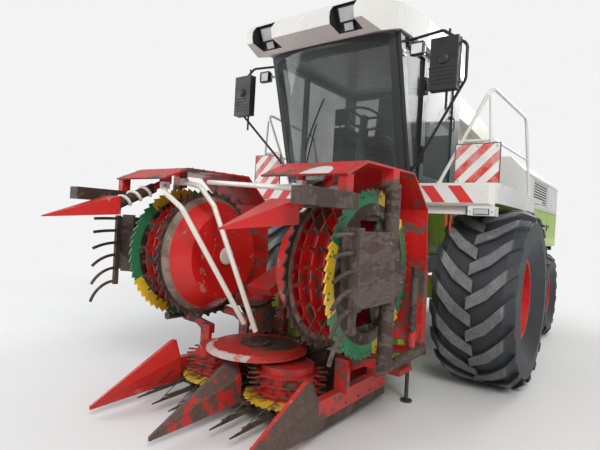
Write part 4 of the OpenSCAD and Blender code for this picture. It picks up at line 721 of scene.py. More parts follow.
BOLT_RING, STUD_RING = make_ring("bolt ring", bolt_parts), make_ring("stud ring", stud_parts)
BOLT_ROWS, STUD_ROWS = make_rows("bolt rows", bolt_parts), make_rows("stud rows", stud_parts)
BOLT_PATH = make_path("bolts along a path", bolt_parts)
BARS = make_bars()
SPIRAL = make_spiral()


def head(radius, height):
    """The sizes of a bolt's or a stud's head, given in millimetres."""
    return {"head_radius": radius / 1000, "head_height": height / 1000}


SMALL_BOLT, KNIFE_BOLT, HOOD_BOLT = head(6, 5), head(6.5, 5), head(7, 5)
RIM_BOLT, GATE_BOLT, FRAME_BOLT = head(8, 6), head(9, 7), head(10, 8)
BODY_SCREW, LADDER_NUB, DRUM_STUD = head(8, 3.5), head(7, 3), head(12, 6.8)


def quarter(side, start):
    """The start of a ring that faces sideways, for a first head at an angle from straight back."""
    return math.pi / 2 + side * start


def applied(obj):
    """The object's mesh, with its modifiers in it."""
    graph = bpy.context.evaluated_depsgraph_get()
    mesh = bpy.data.meshes.new_from_object(obj.evaluated_get(graph))
    obj.modifiers.clear()
    obj.data = mesh
    return mesh


class Shape:
    """Closed solids gathered into one mesh; s is the side of the machine they go on."""

    def __init__(self, s=1):
        self.s = s
        self.rules = []
        self.verts = []
        self.edges = []
        self.faces = []
        self.kinds = []
        self.kind = 0

    def loft(self, rings, caps=True):
        base = len(self.verts)
        n = len(rings[0])
        for ring in rings:
            self.verts.extend((p[0] * self.s, p[1], p[2]) for p in ring)
        faces = []
        for k in range(len(rings) - 1):
            for i in range(n):
                a, b = base + k * n + i, base + k * n + (i + 1) % n
                faces.append((a, b, b + n, a + n))
        if caps:
            faces.append(tuple(range(base + n - 1, base - 1, -1)))
            faces.append(tuple(range(base + (len(rings) - 1) * n, base + len(rings) * n)))
        self.faces.extend(faces)
        self.kinds.extend([self.kind] * len(faces))
        return self

    def block(self, lo, hi, soft=3.0):
        """A block with chamfered edges."""
        soft = min([soft] + [(hi[i] - lo[i]) * 0.45 for i in range(3)])
        rings = []
        for z, inset in ((lo[2], soft), (lo[2] + soft, 0.0), (hi[2] - soft, 0.0), (hi[2], soft)):
            x0, x1, y0, y1 = lo[0] + inset, hi[0] - inset, lo[1] + inset, hi[1] - inset
            c = soft if inset == 0.0 else soft * 0.5
            rings.append([(x0 + c, y0, z), (x1 - c, y0, z), (x1, y0 + c, z), (x1, y1 - c, z),
                          (x1 - c, y1, z), (x0 + c, y1, z), (x0, y1 - c, z), (x0, y0 + c, z)])
        return self.loft(rings)

    def plate(self, outline, direction, t):
        """A flat outline thickened by t along a direction."""
        d = Vector(direction).normalized() * t
        return self.loft([outline, [(p[0] + d.x, p[1] + d.y, p[2] + d.z) for p in outline]])

    def turned(self, at, axis, profile, sides=24, phase=0.0):
        """A solid of revolution: profile is [(distance along the axis, radius)]."""
        at, axis = Vector(at), Vector(axis).normalized()
        a, b = side_of(axis)
        rings = []
        for along, r in profile:
            rings.append([tuple(at + axis * along + (a * math.cos(q) + b * math.sin(q)) * r)
                          for q in (phase + 2 * math.pi * i / sides for i in range(sides))])
        return self.loft(rings)

    def bolt(self, at, axis, r=9.0, h=8.0):
        """A washer, a six-sided head and the end of the thread."""
        self.turned(at, axis, [(-0.3, r * 1.35), (1.6, r * 1.35), (2.0, r * 1.2)], 16)
        at = Vector(at) + Vector(axis).normalized() * 1.9
        self.turned(at, axis, [(0.0, r), (h * 0.75, r), (h, r * 0.84)], 6)
        return self.turned(at, axis, [(h - 0.1, r * 0.45), (h + r * 0.3, r * 0.45),
                                      (h + r * 0.42, r * 0.3)], 8)

    def pipe(self, points, r, sides=12, ends=True):
        """A round bar along points, with its frame carried along so that it doesn't twist."""
        points = [Vector(p) for p in points]
        a = side_of(points[1] - points[0])[0]
        rings = []
        for i, p in enumerate(points):
            before, after = points[max(i - 1, 0)], points[min(i + 1, len(points) - 1)]
            d = (after - before).normalized()
            a = (a - d * a.dot(d)).normalized()
            b = d.cross(a)
            ring = [tuple(p + (a * math.cos(q) + b * math.sin(q)) * r)
                    for q in (2 * math.pi * k / sides for k in range(sides))]
            rings.append(ring)
        return self.loft(rings, ends)

    def at(self, x, y, z):
        return mm(x * self.s, y, z)

    def path(self, a, b):
        """A straight line for a tree to follow."""
        self.verts.extend(((a[0] * self.s, a[1], a[2]), (b[0] * self.s, b[1], b[2])))
        self.edges.append((len(self.verts) - 2, len(self.verts) - 1))

    def repeat(self, tree, **sizes):
        """Add a tree's copies; ring_radius=0.1 sets its input Ring Radius."""
        self.rules.append((tree, {key.replace("_", " ").title(): value for key, value in sizes.items()}))
        return self

    def grown(self, name, mesh, material):
        """The mesh with the copies of each tree, as a plain mesh."""
        obj = bpy.data.objects.new(name + "_start", mesh)
        bpy.context.scene.collection.objects.link(obj)
        for tree, sizes in self.rules:
            modifier = obj.modifiers.new(tree.name, "NODES")
            modifier.node_group = tree
            for item in tree.interface.items_tree:
                if item.name in sizes:
                    modifier[item.identifier] = sizes[item.name]
                elif item.name == "Material":
                    modifier[item.identifier] = material
        mesh = applied(obj)
        bpy.data.objects.remove(obj)
        return mesh

    def piece(self, name, body, *materials, slot=None, angle=32.0):
        mesh = bpy.data.meshes.new(name)
        mesh.from_pydata([mm(*v) for v in self.verts], self.edges, self.faces)
        for k, face in enumerate(mesh.polygons):
            face.material_index = self.kinds[k]
        if self.rules:
            mesh = self.grown(name, mesh, materials[0])
            mesh.materials.clear()
        bm = bmesh.new()
        bm.from_mesh(mesh)
        bmesh.ops.recalc_face_normals(bm, faces=bm.faces)
        bm.to_mesh(mesh)
        bm.free()
        mesh.shade_smooth()
        mesh.set_sharp_from_angle(angle=math.radians(angle))
        obj = bpy.data.objects.new(name, mesh)
        bpy.context.scene.collection.objects.link(obj)
        for chosen in materials:
            mesh.materials.append(chosen)
        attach(obj, body)
        return obj


def curve(points, steps=8):
    """A smooth path through points."""
    points = [Vector(p) for p in points]
    ext = [points[0] * 2 - points[1]] + points + [points[-1] * 2 - points[-2]]
    out = []
    for i in range(1, len(ext) - 2):
        p0, p1, p2, p3 = ext[i - 1:i + 3]
        for k in range(steps):
            u = k / steps
            out.append(0.5 * (2 * p1 + (p2 - p0) * u + (2 * p0 - 5 * p1 + 4 * p2 - p3) * u * u
                              + (3 * p1 - p0 - 3 * p2 + p3) * u ** 3))
    return out + [points[-1]]


SIDES = (("left", 1), ("right", -1))
STEEL = bare("bolt_steel", (0.26, 0.25, 0.24), rough=0.42, metal=0.8, spread=0.3,
             second=(0.12, 0.07, 0.05), scale=30.0, grime=0.4)
RUBBER = bare("rubber_black", (0.012, 0.012, 0.013), rough=0.7, spread=0.6, grime=0.35, relief=0.2,
              fine=150.0)
LENS_RED = lens_material("lens_red", (0.55, 0.02, 0.02))
LENS_AMBER = lens_material("lens_amber", (0.75, 0.25, 0.02))
MIRROR = bare("mirror_glass", (0.78, 0.80, 0.82), rough=0.12, metal=1.0, spread=0.05, relief=0.02, grime=0.15)
DECAL_RED = paint("decal_red", (0.62, 0.035, 0.03), rough=0.35, chips=0.06, grime=0.3, streaks=0.1,
                  under=(0.55, 0.50, 0.45))
DECAL_WHITE = paint("decal_white", (0.66, 0.65, 0.62), rough=0.4, chips=0.22, chip_scale=22.0, grime=0.3,
                    under=(0.45, 0.05, 0.04))
POINT_BROWN = bare("point_brown", (0.030, 0.018, 0.013), rough=0.5, metal=0.2,
                   second=(0.060, 0.040, 0.030), scale=14.0, grime=0.15)
SEAM = bare("seam_dark", (0.02, 0.02, 0.02), rough=0.8, spread=0.8, grime=0.5)


# Wheels

def wheel_details(name, s, x_face, y, z, nuts, nut_r, nut_size, cap_r, cap_h):
    """Nuts round a rim's disc, and the cap on its hub."""
    side = "left" if s > 0 else "right"
    outward = (float(s), 0.0, 0.0)
    nut = Shape(s)
    nut.repeat(BOLT_RING, count=nuts, ring_radius=nut_r / 1000, start=quarter(s, 0.2),
               centre=nut.at(x_face, y, z), facing=outward, **head(nut_size, nut_size * 1.15))
    nut.piece(name + "_wheel_nuts_" + side, name + "_wheel_" + side, STEEL)
    cap = Shape(s)
    dome = ((0, 1), (0.55, 0.97), (0.8, 0.88), (0.95, 0.6), (1, 0.2))
    cap.turned((x_face - 0.3, y, z), (1, 0, 0), [(cap_h * u, cap_r * v) for u, v in dome], 40)
    cap.repeat(BOLT_RING, count=6, ring_radius=cap_r * 0.72 / 1000, start=quarter(s, 0.5), seed=2,
               centre=cap.at(x_face + cap_h * 0.86, y, z), facing=outward, **SMALL_BOLT)
    cap.piece(name + "_hub_cap_" + side, name + "_wheel_" + side, MAT["rim_red"], slot="rim_red")


for side, s in SIDES:
    wheel_details("front", s, x_face=1260, y=FRONT_Y, z=FRONT_Z, nuts=10, nut_r=128, nut_size=15,
                  cap_r=92, cap_h=60)
    wheel_details("rear", s, x_face=1190, y=REAR_Y, z=REAR_Z, nuts=8, nut_r=88, nut_size=11,
                  cap_r=62, cap_h=42)
    stem = Shape(s)
    stem.turned((1410, FRONT_Y, FRONT_Z + 352), (1, 0, 0),
                [(-30, 7), (10, 7), (12, 5), (28, 5), (30, 6.5), (44, 6.5)], 12)
    stem.piece("front_valve_" + side, "front_wheel_" + side, STEEL)


# Cab. The windscreen's side edges start at SCREEN_FOOT (y, z) and lean back; the axis of its curve lies
# SCREEN_DEPTH behind them.
SCREEN_FOOT = (-1020, 2060)
SCREEN_LEAN = math.tan(math.radians(17))
SCREEN_RADIUS, SCREEN_DEPTH = 1150, 896.7


def screen_y(x, z):
    """Outer face of the windscreen."""
    edge = SCREEN_FOOT[0] - (z - SCREEN_FOOT[1]) * SCREEN_LEAN
    return edge + SCREEN_DEPTH - math.sqrt(SCREEN_RADIUS ** 2 - x * x)


def on_screen(shape, outline_rows, lift=1.0, t=3.0):
    """A thin skin on the windscreen: rows of (x, z) points from one edge to the other."""
    front = [[(x, screen_y(x, z) - lift - t, z) for x, z in row] for row in outline_rows]
    back = [[(x, screen_y(x, z) - lift, z) for x, z in row] for row in outline_rows]
    for k in range(len(front) - 1):
        a, b, c, d = front[k], front[k + 1], back[k + 1], back[k]
        shape.loft([[a[i], b[i], c[i], d[i]] for i in range(len(a))])


def lerp(a, b, u):
    return a + (b - a) * u


def off_screen(x0, x1, z0, z1, u, lift):
    """A point off the windscreen, a share u of the way between two places on it."""
    x, z = lerp(x0, x1, u), lerp(z0, z1, u)
    return x, screen_y(x, z) - lift, z


border = Shape()
for x0, x1, z0, z1, across, up in ((-712, -664, 2100, 3368, 2, 8), (664, 712, 2100, 3368, 2, 8),
                                   (-664, 664, 2100, 2150, 20, 1), (-664, 664, 3300, 3368, 20, 1)):
    on_screen(border, [[(lerp(x0, x1, i / across), lerp(z0, z1, k / up)) for i in range(across + 1)]
                       for k in range(up + 1)])
border.piece("windscreen_border", "machine", MAT["trim_black"], slot="trim_black")

wiper = Shape()
arm = [off_screen(-330, -90, 2150, 2600, u, 30 - 6 * u) for u in (0.0, 0.25, 0.5, 0.75, 1.0)]
wiper.turned((-330, screen_y(-330, 2150) + 1, 2150), (0, -1, 0), [(0, 26), (24, 26), (34, 18), (44, 10)], 20)
wiper.pipe(arm, 8, 8)
blade = [off_screen(-300, 30, 2380, 2830, k / 10, 14) for k in range(11)]
wiper.pipe(blade, 6, 8)
wiper.pipe([(x, y + 9, z) for x, y, z in blade], 3.2, 6)
for k in (2, 5, 8):
    p = Vector(blade[k])
    wiper.pipe([p + Vector((-6, -4, -8)), p + Vector((0, -8, 0)), p + Vector((6, -4, 8))], 5, 8)
wiper.piece("windscreen_wiper", "machine", MAT["trim_black"], slot="trim_black")


def roof_recess(shape):
    """Black lining of a lamp recess: cheeks, top and slanted back, each a thin panel."""
    slope = math.radians(26.8)
    top, bottom = (-1868, 3515), (-1868 + 200 * math.tan(slope), 3315)
    front_top, front = (-1899, 3514), (-1938, 3468)
    cheek = [front, front_top, (top[0] - 1, top[1] - 1), (bottom[0] - 1, bottom[1]), (-1800, 3321),
             (-1936, 3346), (-1950, 3400)]
    for x in (330.4, 572.6):
        shape.plate([(x, y, z) for y, z in cheek], (1, 0, 0), 2)
    shape.plate([(332.4, *front_top), (572.6, *front_top), (572.6, top[0] - 1, 3514.6),
                 (332.4, top[0] - 1, 3514.6)], (0, 0, -1), 2)
    tilt = Vector((0, -math.cos(slope), -math.sin(slope)))
    down = Vector((0, math.sin(slope), -math.cos(slope)))
    middle = Vector((452.5, *top))

    def frame_round(w, h, drop, depth):
        """Four bars round a lamp w by h that starts drop below the recess's top."""
        c = middle + down * (drop + h / 2)
        for dx, dz, lx, lz in ((0, h / 2 + 5, w / 2 + 9, 4), (0, -h / 2 - 5, w / 2 + 9, 4),
                               (w / 2 + 5, 0, 4, h / 2 + 1), (-w / 2 - 5, 0, 4, h / 2 + 1)):
            q = c + Vector((dx, 0, 0)) - down * dz
            corners = [q + Vector((ax * lx, 0, 0)) + down * (az * lz)
                       for ax, az in ((-1, -1), (1, -1), (1, 1), (-1, 1))]
            shape.loft([[tuple(p + tilt) for p in corners], [tuple(p + tilt * depth) for p in corners]])

    frame_round(150, 112, 16, 34)
    frame_round(88, 62, 146, 34)
    head_line, foot_line = (top[0] - 1.2, top[1] - 2), (bottom[0] - 1.2, bottom[1] + 1)
    shape.plate([(332.6, *head_line), (572.4, *head_line), (572.4, *foot_line), (332.6, *foot_line)],
                tuple(tilt), 0.8)


for side, s in SIDES:
    outward, inward = (float(s), 0.0, 0.0), (-float(s), 0.0, 0.0)
    lining = Shape(s)
    roof_recess(lining)
    lining.piece("roof_recess_lining_" + side, "machine", MAT["trim_black"], slot="trim_black")

    # Work lamp: ribbed back, bezel and stay bolts
    y = SCREEN_FOOT[0] - (3400 - SCREEN_FOOT[1]) * SCREEN_LEAN + 60
    lamp = Shape(s)
    for dx, dz, lx, lz in ((0, 53, 61, 5), (0, -53, 61, 5), (58, 0, 5, 48), (-58, 0, 5, 48)):
        lamp.block((905 + dx - lx, y - 9, 3220 + dz - lz), (905 + dx + lx, y + 40, 3220 + dz + lz), 2)
    for k in range(6):
        lamp.block((858 + k * 17, y + 69, 3178), (864 + k * 17, y + 84, 3262), 1.5)
    for z in (3187, 3253):
        lamp.bolt((963, y + 50, z), (1, 0, 0), 6, 5)
    lamp.piece("work_lamp_trim_" + side, "machine", MAT["trim_black"], slot="trim_black")

    # Mirror: glass and bezel to the rear, a round joint and ribs in front
    mirror = Shape(s)
    for lo, hi in (((1056, -1352, 2796), (1304, -1344, 2812)), ((1056, -1352, 3238), (1304, -1344, 3254)),
                   ((1056, -1352, 2812), (1072, -1344, 3238)), ((1288, -1352, 2812), (1304, -1344, 3238))):
        mirror.block(lo, hi, 2)
    mirror.turned((1180, -1430.3, 3060), (0, -1, 0), [(0, 46), (8, 44), (16, 34), (20, 18)], 32)
    for k in range(5):
        mirror.block((1080, -1434, 2850 + k * 34), (1280, -1429.8, 2858 + k * 34), 1)
    mirror.kind = 1
    mirror.block((1072, -1350.2, 2812), (1288, -1347, 3238), 0.8)
    mirror.piece("mirror_detail_" + side, "machine", MAT["trim_black"], MIRROR, slot="trim_black")

    # Warning board: edging, rivets and stays
    board = Shape(s)
    for lo, hi in (((1106, -766, 2060.5), (1524, -748, 2066)), ((1106, -766, 2438), (1524, -748, 2444)),
                   ((1104, -766, 2062), (1110, -748, 2442)), ((1520, -766, 2062), (1526, -748, 2442))):
        board.block(lo, hi, 1)
    for x in (1140, 1315, 1490):
        for z in (2090, 2410):
            board.turned((x, -760.2, z), (0, -1, 0), [(0, 7), (1.5, 6.5), (3, 4)], 14)
    for x in (1180, 1450):
        board.block((x, -749.8, 2061), (x + 30, -744, 2400), 1.5)
        board.block((x, -745, 2060.2), (x + 30, -700, 2066), 1.5)
        board.bolt((x + 15, -715, 2066), (0, 0, 1), 7, 6)
    board.piece("warning_board_edges_" + side, "machine", STEEL)

    # Red stripes of the fascia; the bottoms lie further out than the tops
    stripes = Shape(s)
    y, width, shift = -840.4, 128, 130
    for x0 in (530, 800, 1070):
        x1 = x0 + width
        stripes.plate([(x0, y, 2032), (x1, y, 2032), (x1 + shift, y, 1868), (x0 + shift, y, 1868)],
                      (0, -1, 0), 0.8)
    stripes.piece("fascia_stripes_" + side, "machine", DECAL_RED)

    # Pods under the fascia: split lens, frame and screws
    pod = Shape(s)
    for lo, hi in (((1322, -826, 1808), (1468, -818, 1816)), ((1322, -826, 1759), (1468, -818, 1766)),
                   ((1322, -826, 1766), (1331, -818, 1808)), ((1459, -826, 1766), (1468, -818, 1808)),
                   ((1392, -827, 1766), (1396, -818, 1808))):
        pod.block(lo, hi, 1.5)
    pod.kind = 1
    pod.block((1397, -827, 1767), (1458, -823.5, 1807), 1)
    pod.kind = 2
    for x in (1290, 1490):
        pod.bolt((x, -820.2, 1787), (0, -1, 0), 5, 4)
    pod.piece("lamp_pod_trim_" + side, "machine", MAT["trim_black"], LENS_AMBER, STEEL)

    # Rear lamps and reflectors on the body's back corners
    rear = Shape(s)
    rear.block((1246, 4530.2, 1470), (1296, 4548, 1700), 4)
    rear.kind = 1
    rear.block((1251, 4547.8, 1476), (1291, 4556, 1560), 3)
    rear.kind = 2
    rear.block((1251, 4547.8, 1566), (1291, 4556, 1694), 3)
    rear.kind = 0
    rear.piece("rear_lamps_" + side, "machine", MAT["trim_black"], LENS_AMBER, LENS_RED)

    # Seams, latches and screws on the side of the rear body
    seams = Shape(s)
    for y in (2200, 3500):
        seams.block((1299.6, y - 2.5, 1430), (1300.8, y + 2.5, 2464), 0.4)
    seams.block((1299.6, 1510, 1997.5), (1300.8, 4524, 2002.5), 0.4)
    seams.block((1299.6, 1510, 2440), (1300.8, 4524, 2444), 0.4)
    for y in (2170, 2230, 3470, 3530):
        seams.block((1299.8, y - 16, 1680), (1308, y + 16, 1760), 3)
        seams.turned((1307.8, y, 1735), (1, 0, 0), [(0, 9), (3, 9), (4, 6)], 16)
    seams.block((1240, 2236, 2078), (1246, 3464, 2424), 2)
    seams.piece("body_seams_" + side, "machine", SEAM)
    screws = Shape(s)
    for z, rows, gap, y, count, pitch in ((1445, 1, 0, 1540, 23, 130), (1975, 2, 55, 1540, 23, 130),
                                         (2078, 2, 344, 2240, 13, 101)):
        screws.repeat(STUD_ROWS, count=count, step=(0.0, pitch / 1000, 0.0), rows=rows,
                      row_step=(0.0, 0.0, gap / 1000), first=screws.at(1300, y, z), facing=outward,
                      **BODY_SCREW)
    screws.piece("body_screws_" + side, "machine", STEEL)

    # Wire mesh behind the side grille's bars
    wires = Shape(s)
    wires.repeat(BARS, count=60, step=(0.0, 0.02, 0.0), first=wires.at(1278, 2259, 2250),
                 bar_size=(0.002, 0.002, 0.324))
    wires.repeat(BARS, count=16, step=(0.0, 0.0, 0.02), first=wires.at(1276.1, 2850, 2097),
                 bar_size=(0.0018, 1.2, 0.002))
    wires.piece("side_grille_mesh_" + side, "machine", STEEL)

    # Ladder treads: raised nubs
    ladder = Shape(s)
    for z in (540, 830, 1120, 1410):
        ladder.repeat(STUD_ROWS, count=9, step=(s * 0.024, 0.0, 0.0), rows=3, row_step=(0.0, 0.095, 0.0),
                      first=ladder.at(1404, 1150, z + 25), **LADDER_NUB)
    ladder.piece("ladder_nubs_" + side, "machine", STEEL)

    # Rotor: bolts round the outer rim and studs on the drum's face
    rotor = Shape(s)
    rotor.repeat(BOLT_RING, count=24, ring_radius=0.525, start=quarter(-s, 0.1), facing=inward,
                 centre=rotor.at(683.6, ROTOR_Y, ROTOR_Z), **RIM_BOLT)
    rotor.repeat(STUD_RING, count=12, ring_radius=0.352, start=quarter(-s, 0.3), facing=inward,
                 centre=rotor.at(486.5, ROTOR_Y, ROTOR_Z), **DRUM_STUD)
    rotor.piece("rotor_bolts_" + side, "wing_rotor_" + side + "_body", STEEL)

    # Knives: two bolts through each tooth of the toothed ring
    knives = Shape(s)
    for n in (0, 1):
        knives.repeat(BOLT_RING, count=27, ring_radius=0.572 + 0.014 * n, start=quarter(s, 0.05 + 0.06 * n),
                      seed=n + 1, centre=knives.at(1045.2, ROTOR_Y, ROTOR_Z), facing=outward, **KNIFE_BOLT)
    knives.piece("knife_bolts_" + side, "knife_ring_" + side + "_body", STEEL)

    # Hood: bolts along both edges, from each bend to the next
    hood = Shape(s)
    line = [(-2950, 1900), (-2700, 2010), (-1950, 2020), (-1640, 1760), (-1590, 1250), (-1640, 800),
            (-1760, 690)]
    for (y0, z0), (y1, z1) in zip(line, line[1:]):
        inset = 60 / math.hypot(y1 - y0, z1 - z0)
        dy, dz = (y1 - y0) * inset, (z1 - z0) * inset
        for x in (546, 1174):
            hood.path((x, y0 + dy, z0 + dz), (x, y1 - dy, z1 - dz))
    hood.repeat(BOLT_PATH, pitch=0.125, **HOOD_BOLT)
    hood.piece("hood_bolts_" + side, "wing_" + side, STEEL)

    # Gate with the small points: bolts on its plates
    gate = Shape(s)
    for z, count in ((1120, 4), (1545, 1)):
        gate.repeat(BOLT_ROWS, count=count, step=(0.0, 0.0, 0.12), rows=2, row_step=(0.0, 0.18, 0.0),
                    seed=count, first=gate.at(1253.8, -2600, z), facing=outward, **GATE_BOLT)
    gate.repeat(BOLT_RING, count=10, ring_radius=0.118, start=quarter(s, 0.2), facing=outward,
                centre=gate.at(1229.8, ROTOR_Y, ROTOR_Z), **GATE_BOLT)
    gate.piece("gate_bolts_" + side, "wing_" + side, STEEL)

    # Spiral of the divider's roller
    spiral = Shape(s)
    a, b = Vector((900, -3140, 1655)), Vector((900, -2800, 1815))
    d = (b - a).normalized()
    spiral.repeat(SPIRAL, turns=3.5, radius=0.049, length=(b - a).length / 1000, bar_radius=0.014,
                  start=spiral.at(*a), along=tuple(d), turn=math.pi * (s > 0), reverse=s < 0)
    spiral.turned(a, -d, [(-2, 30), (6, 28), (9, 14)], 20)
    spiral.piece("roller_spiral_" + side, "wing_" + side, MAT["spout_white"], slot="spout_white")


# Seat: cushions blown up as cloth, with sewn channels, on a bellows pedestal

def groove(co, normal, distance, depth, width):
    return co - normal * depth * math.exp(-(distance / width) ** 2)


def cushion(name, lo, hi, lean, channels, cap=0.014, inset=13.0):
    """A stuffed pad between two corners. It leans back by lean mm per mm of height, and its channels are
    x places in mm. It starts inset mm smaller all round, and the cloth swells it by cap metres at most."""
    shape = Shape()
    shape.block([v + inset for v in lo], [v - inset for v in hi], 34)
    shape.verts = [(x, y + (z - lo[2]) * lean, z) for x, y, z in shape.verts]
    obj = shape.piece(name, "machine", MAT["seat_fabric"], slot="seat_fabric")
    remesh = obj.modifiers.new("remesh", "REMESH")
    remesh.mode = "VOXEL"
    remesh.voxel_size = 0.010
    smooth = obj.modifiers.new("smooth", "SMOOTH")
    smooth.iterations = 6
    applied(obj)
    rest = [v.co.copy() for v in obj.data.vertices]
    cloth = obj.modifiers.new("cloth", "CLOTH")
    cloth.settings.use_pressure = True
    cloth.settings.uniform_pressure_force = 4.0
    cloth.settings.effector_weights.gravity = 0.0
    frames = range(1, 21)
    cloth.point_cache.frame_start = frames[0]
    cloth.point_cache.frame_end = frames[-1]
    for f in frames:
        bpy.context.scene.frame_set(f)
    applied(obj)
    bpy.context.scene.frame_set(1)
    for v, start in zip(obj.data.vertices, rest):
        move = v.co - start
        if move.length > cap:
            v.co = start + move * (cap / move.length)
    fine = obj.modifiers.new("fine", "SUBSURF")
    fine.levels = fine.render_levels = 1
    applied(obj)
    mesh = obj.data
    middle = mm((lo[0] + hi[0]) / 2, (lo[1] + hi[1]) / 2, (lo[2] + hi[2]) / 2)
    normals = [v.normal.copy() for v in mesh.vertices]
    for v, n in zip(mesh.vertices, normals):
        co = v.co
        face = n.z if lean == 0 else -n.y
        if face > 0.4:
            for x in channels:
                co = groove(co, n, co.x * 1000 - x, 0.007, 6.0)
            across = (co.y - middle.y) * 1000 if lean == 0 else (co.z - middle.z) * 1000
            for place in (-95, 95):
                co = groove(co, n, across - place, 0.005, 5.0)
        v.co = co
    mesh.shade_smooth()
    if not mesh.materials:
        mesh.materials.append(MAT["seat_fabric"])
    return obj


seat_y = -260
seat_cushion = cushion("seat_cushion", (-250, seat_y - 260, 2540), (250, seat_y + 250, 2660), 0.0,
                       (-150, 150))
cushion("seat_back", (-230, seat_y + 206, 2664), (230, seat_y + 292, 3290), 0.165, (-140, 140))
pedestal = Shape()
rings = []
for k in range(9):
    z = 2100 + k * 48
    for dz, grow in ((0, 0), (24, 18)):
        rings.append([(-140 - grow, -390 - grow, z + dz), (140 + grow, -390 - grow, z + dz),
                      (140 + grow, -110 + grow, z + dz), (-140 - grow, -110 + grow, z + dz)])
pedestal.loft(rings)
pedestal.block((-160, -410, 2060.5), (160, -90, 2101), 6)
pedestal.block((-200, -470, 2516), (200, -60, 2541), 8)
for x in (-275, 262):
    pedestal.block((x, -330, 2556), (x + 13, -60, 2610), 4)
    pedestal.block((x - 8, -360, 2800), (x + 22, -40, 2838), 12)
    pedestal.block((x, -90, 2600), (x + 13, -50, 2805), 4)
pedestal.piece("seat_pedestal", "machine", RUBBER, slot="trim_black")
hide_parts("seat")

# Things in the cab: a screen on its arm, a lever, a grab rail and a row of keys
inside = Shape()
inside.block((-452, -560, 2790), (-300, -540, 2990), 6)
inside.pipe(curve([(-376, -552, 2795), (-376, -520, 2730), (-370, -500, 2760)]), 10, 10)
inside.pipe(curve([(-370, -440, 2755), (-366, -430, 2860), (-362, -424, 2900)]), 9, 10)
inside.turned((-362, -424, 2895), (0, 0, 1), [(0, 16), (18, 26), (44, 26), (62, 16), (68, 6)], 20)
inside.pipe(curve([(560, -960, 2200), (548, -985, 2500), (545, -1050, 2900)]), 12, 10)
for x in (-260, -120, 20, 160):
    inside.block((x, -500, 2752), (x + 40, -480, 2760), 2)
inside.kind = 1
inside.block((-444, -561.5, 2800), (-308, -559.5, 2980), 1)
inside.piece("cab_controls", "machine", MAT["trim_black"], SEAM, slot="trim_black")

# Plate, grip and lock of the door's handle
door = Shape()
door.block((759.8, 60, 2900), (772, 120, 2940), 4)
door.pipe(curve([(762, 70, 2760), (790, 72, 2780), (792, 72, 2850), (790, 72, 2890), (762, 70, 2905)]), 8, 10)
door.turned((759.8, 90, 2990), (1, 0, 0), [(0, 14), (5, 14), (8, 9)], 20)
door.piece("door_handle", "cab_door", MAT["trim_black"], slot="trim_black")

# White half round on top of the near hood, its field bare
patch = Shape()
arc = [(950 + 112 * math.cos(q), -2944 + 150 * math.sin(q)) for q in (math.pi * k / 24 for k in range(25))]
patch.plate([(x, y, 1900.3 + 0.44 * (y + 2950)) for x, y in arc], (0, -0.4, 0.9), 0.8)
patch.piece("hood_patch", "wing_left", DECAL_WHITE)

# Pipes on the header's frame, with unions
lines = Shape()
for x, r in ((-40, 9), (-12, 9), (16, 7)):
    lines.pipe(curve([(x, -1485, 345), (x, -1500, 700), (x, -1492, 1100), (x, -1486, 1262)]), r, 10)
    for z in (430, 980):
        lines.turned((x, -1496, z), (0, 0, 1), [(0, r * 1.7), (20, r * 1.7)], 6)
lines.piece("header_pipes", "header", RUBBER)

# Bolts along the header's frame, its posts and its sides
frame_bolts = Shape()
frame_bolts.repeat(BOLT_ROWS, count=11, step=(0.14, 0.0, 0.0), first=mm(-700, -1455, 340), **FRAME_BOLT)
frame_bolts.repeat(BOLT_ROWS, count=6, step=(0.0, 0.0, 0.16), rows=2, row_step=(0.8, 0.0, 0.0), seed=2,
                   first=mm(-400, -1480.2, 400), facing=(0.0, -1.0, 0.0), **FRAME_BOLT)
for s in (1, -1):
    frame_bolts.repeat(BOLT_ROWS, count=6, step=(0.0, 0.2, 0.0), first=mm(s * 790.2, -2500, 190), seed=3,
                       facing=(float(s), 0.0, 0.0), **FRAME_BOLT)
frame_bolts.piece("header_bolts", "header", STEEL)

# Worn centre of the dish: a raised round cover with screws
cover = Shape()
cover.turned((0, DISH_Y, 547.5), (0, 0, 1), [(0, 120), (5, 120), (9, 108), (12, 60), (13, 10)], 48)
cover.repeat(BOLT_RING, count=8, ring_radius=0.092, centre=mm(0, DISH_Y, 557), **SMALL_BOLT)
cover.piece("dish_cover", "header", STEEL)

# Bolts round the spout's turning ring
spout = Shape()
spout.repeat(BOLT_RING, count=20, ring_radius=0.214, start=0.1, centre=mm(0, 860, 2800.3), **RIM_BOLT)
spout.piece("spout_ring_bolts", "spout_turret", STEEL)

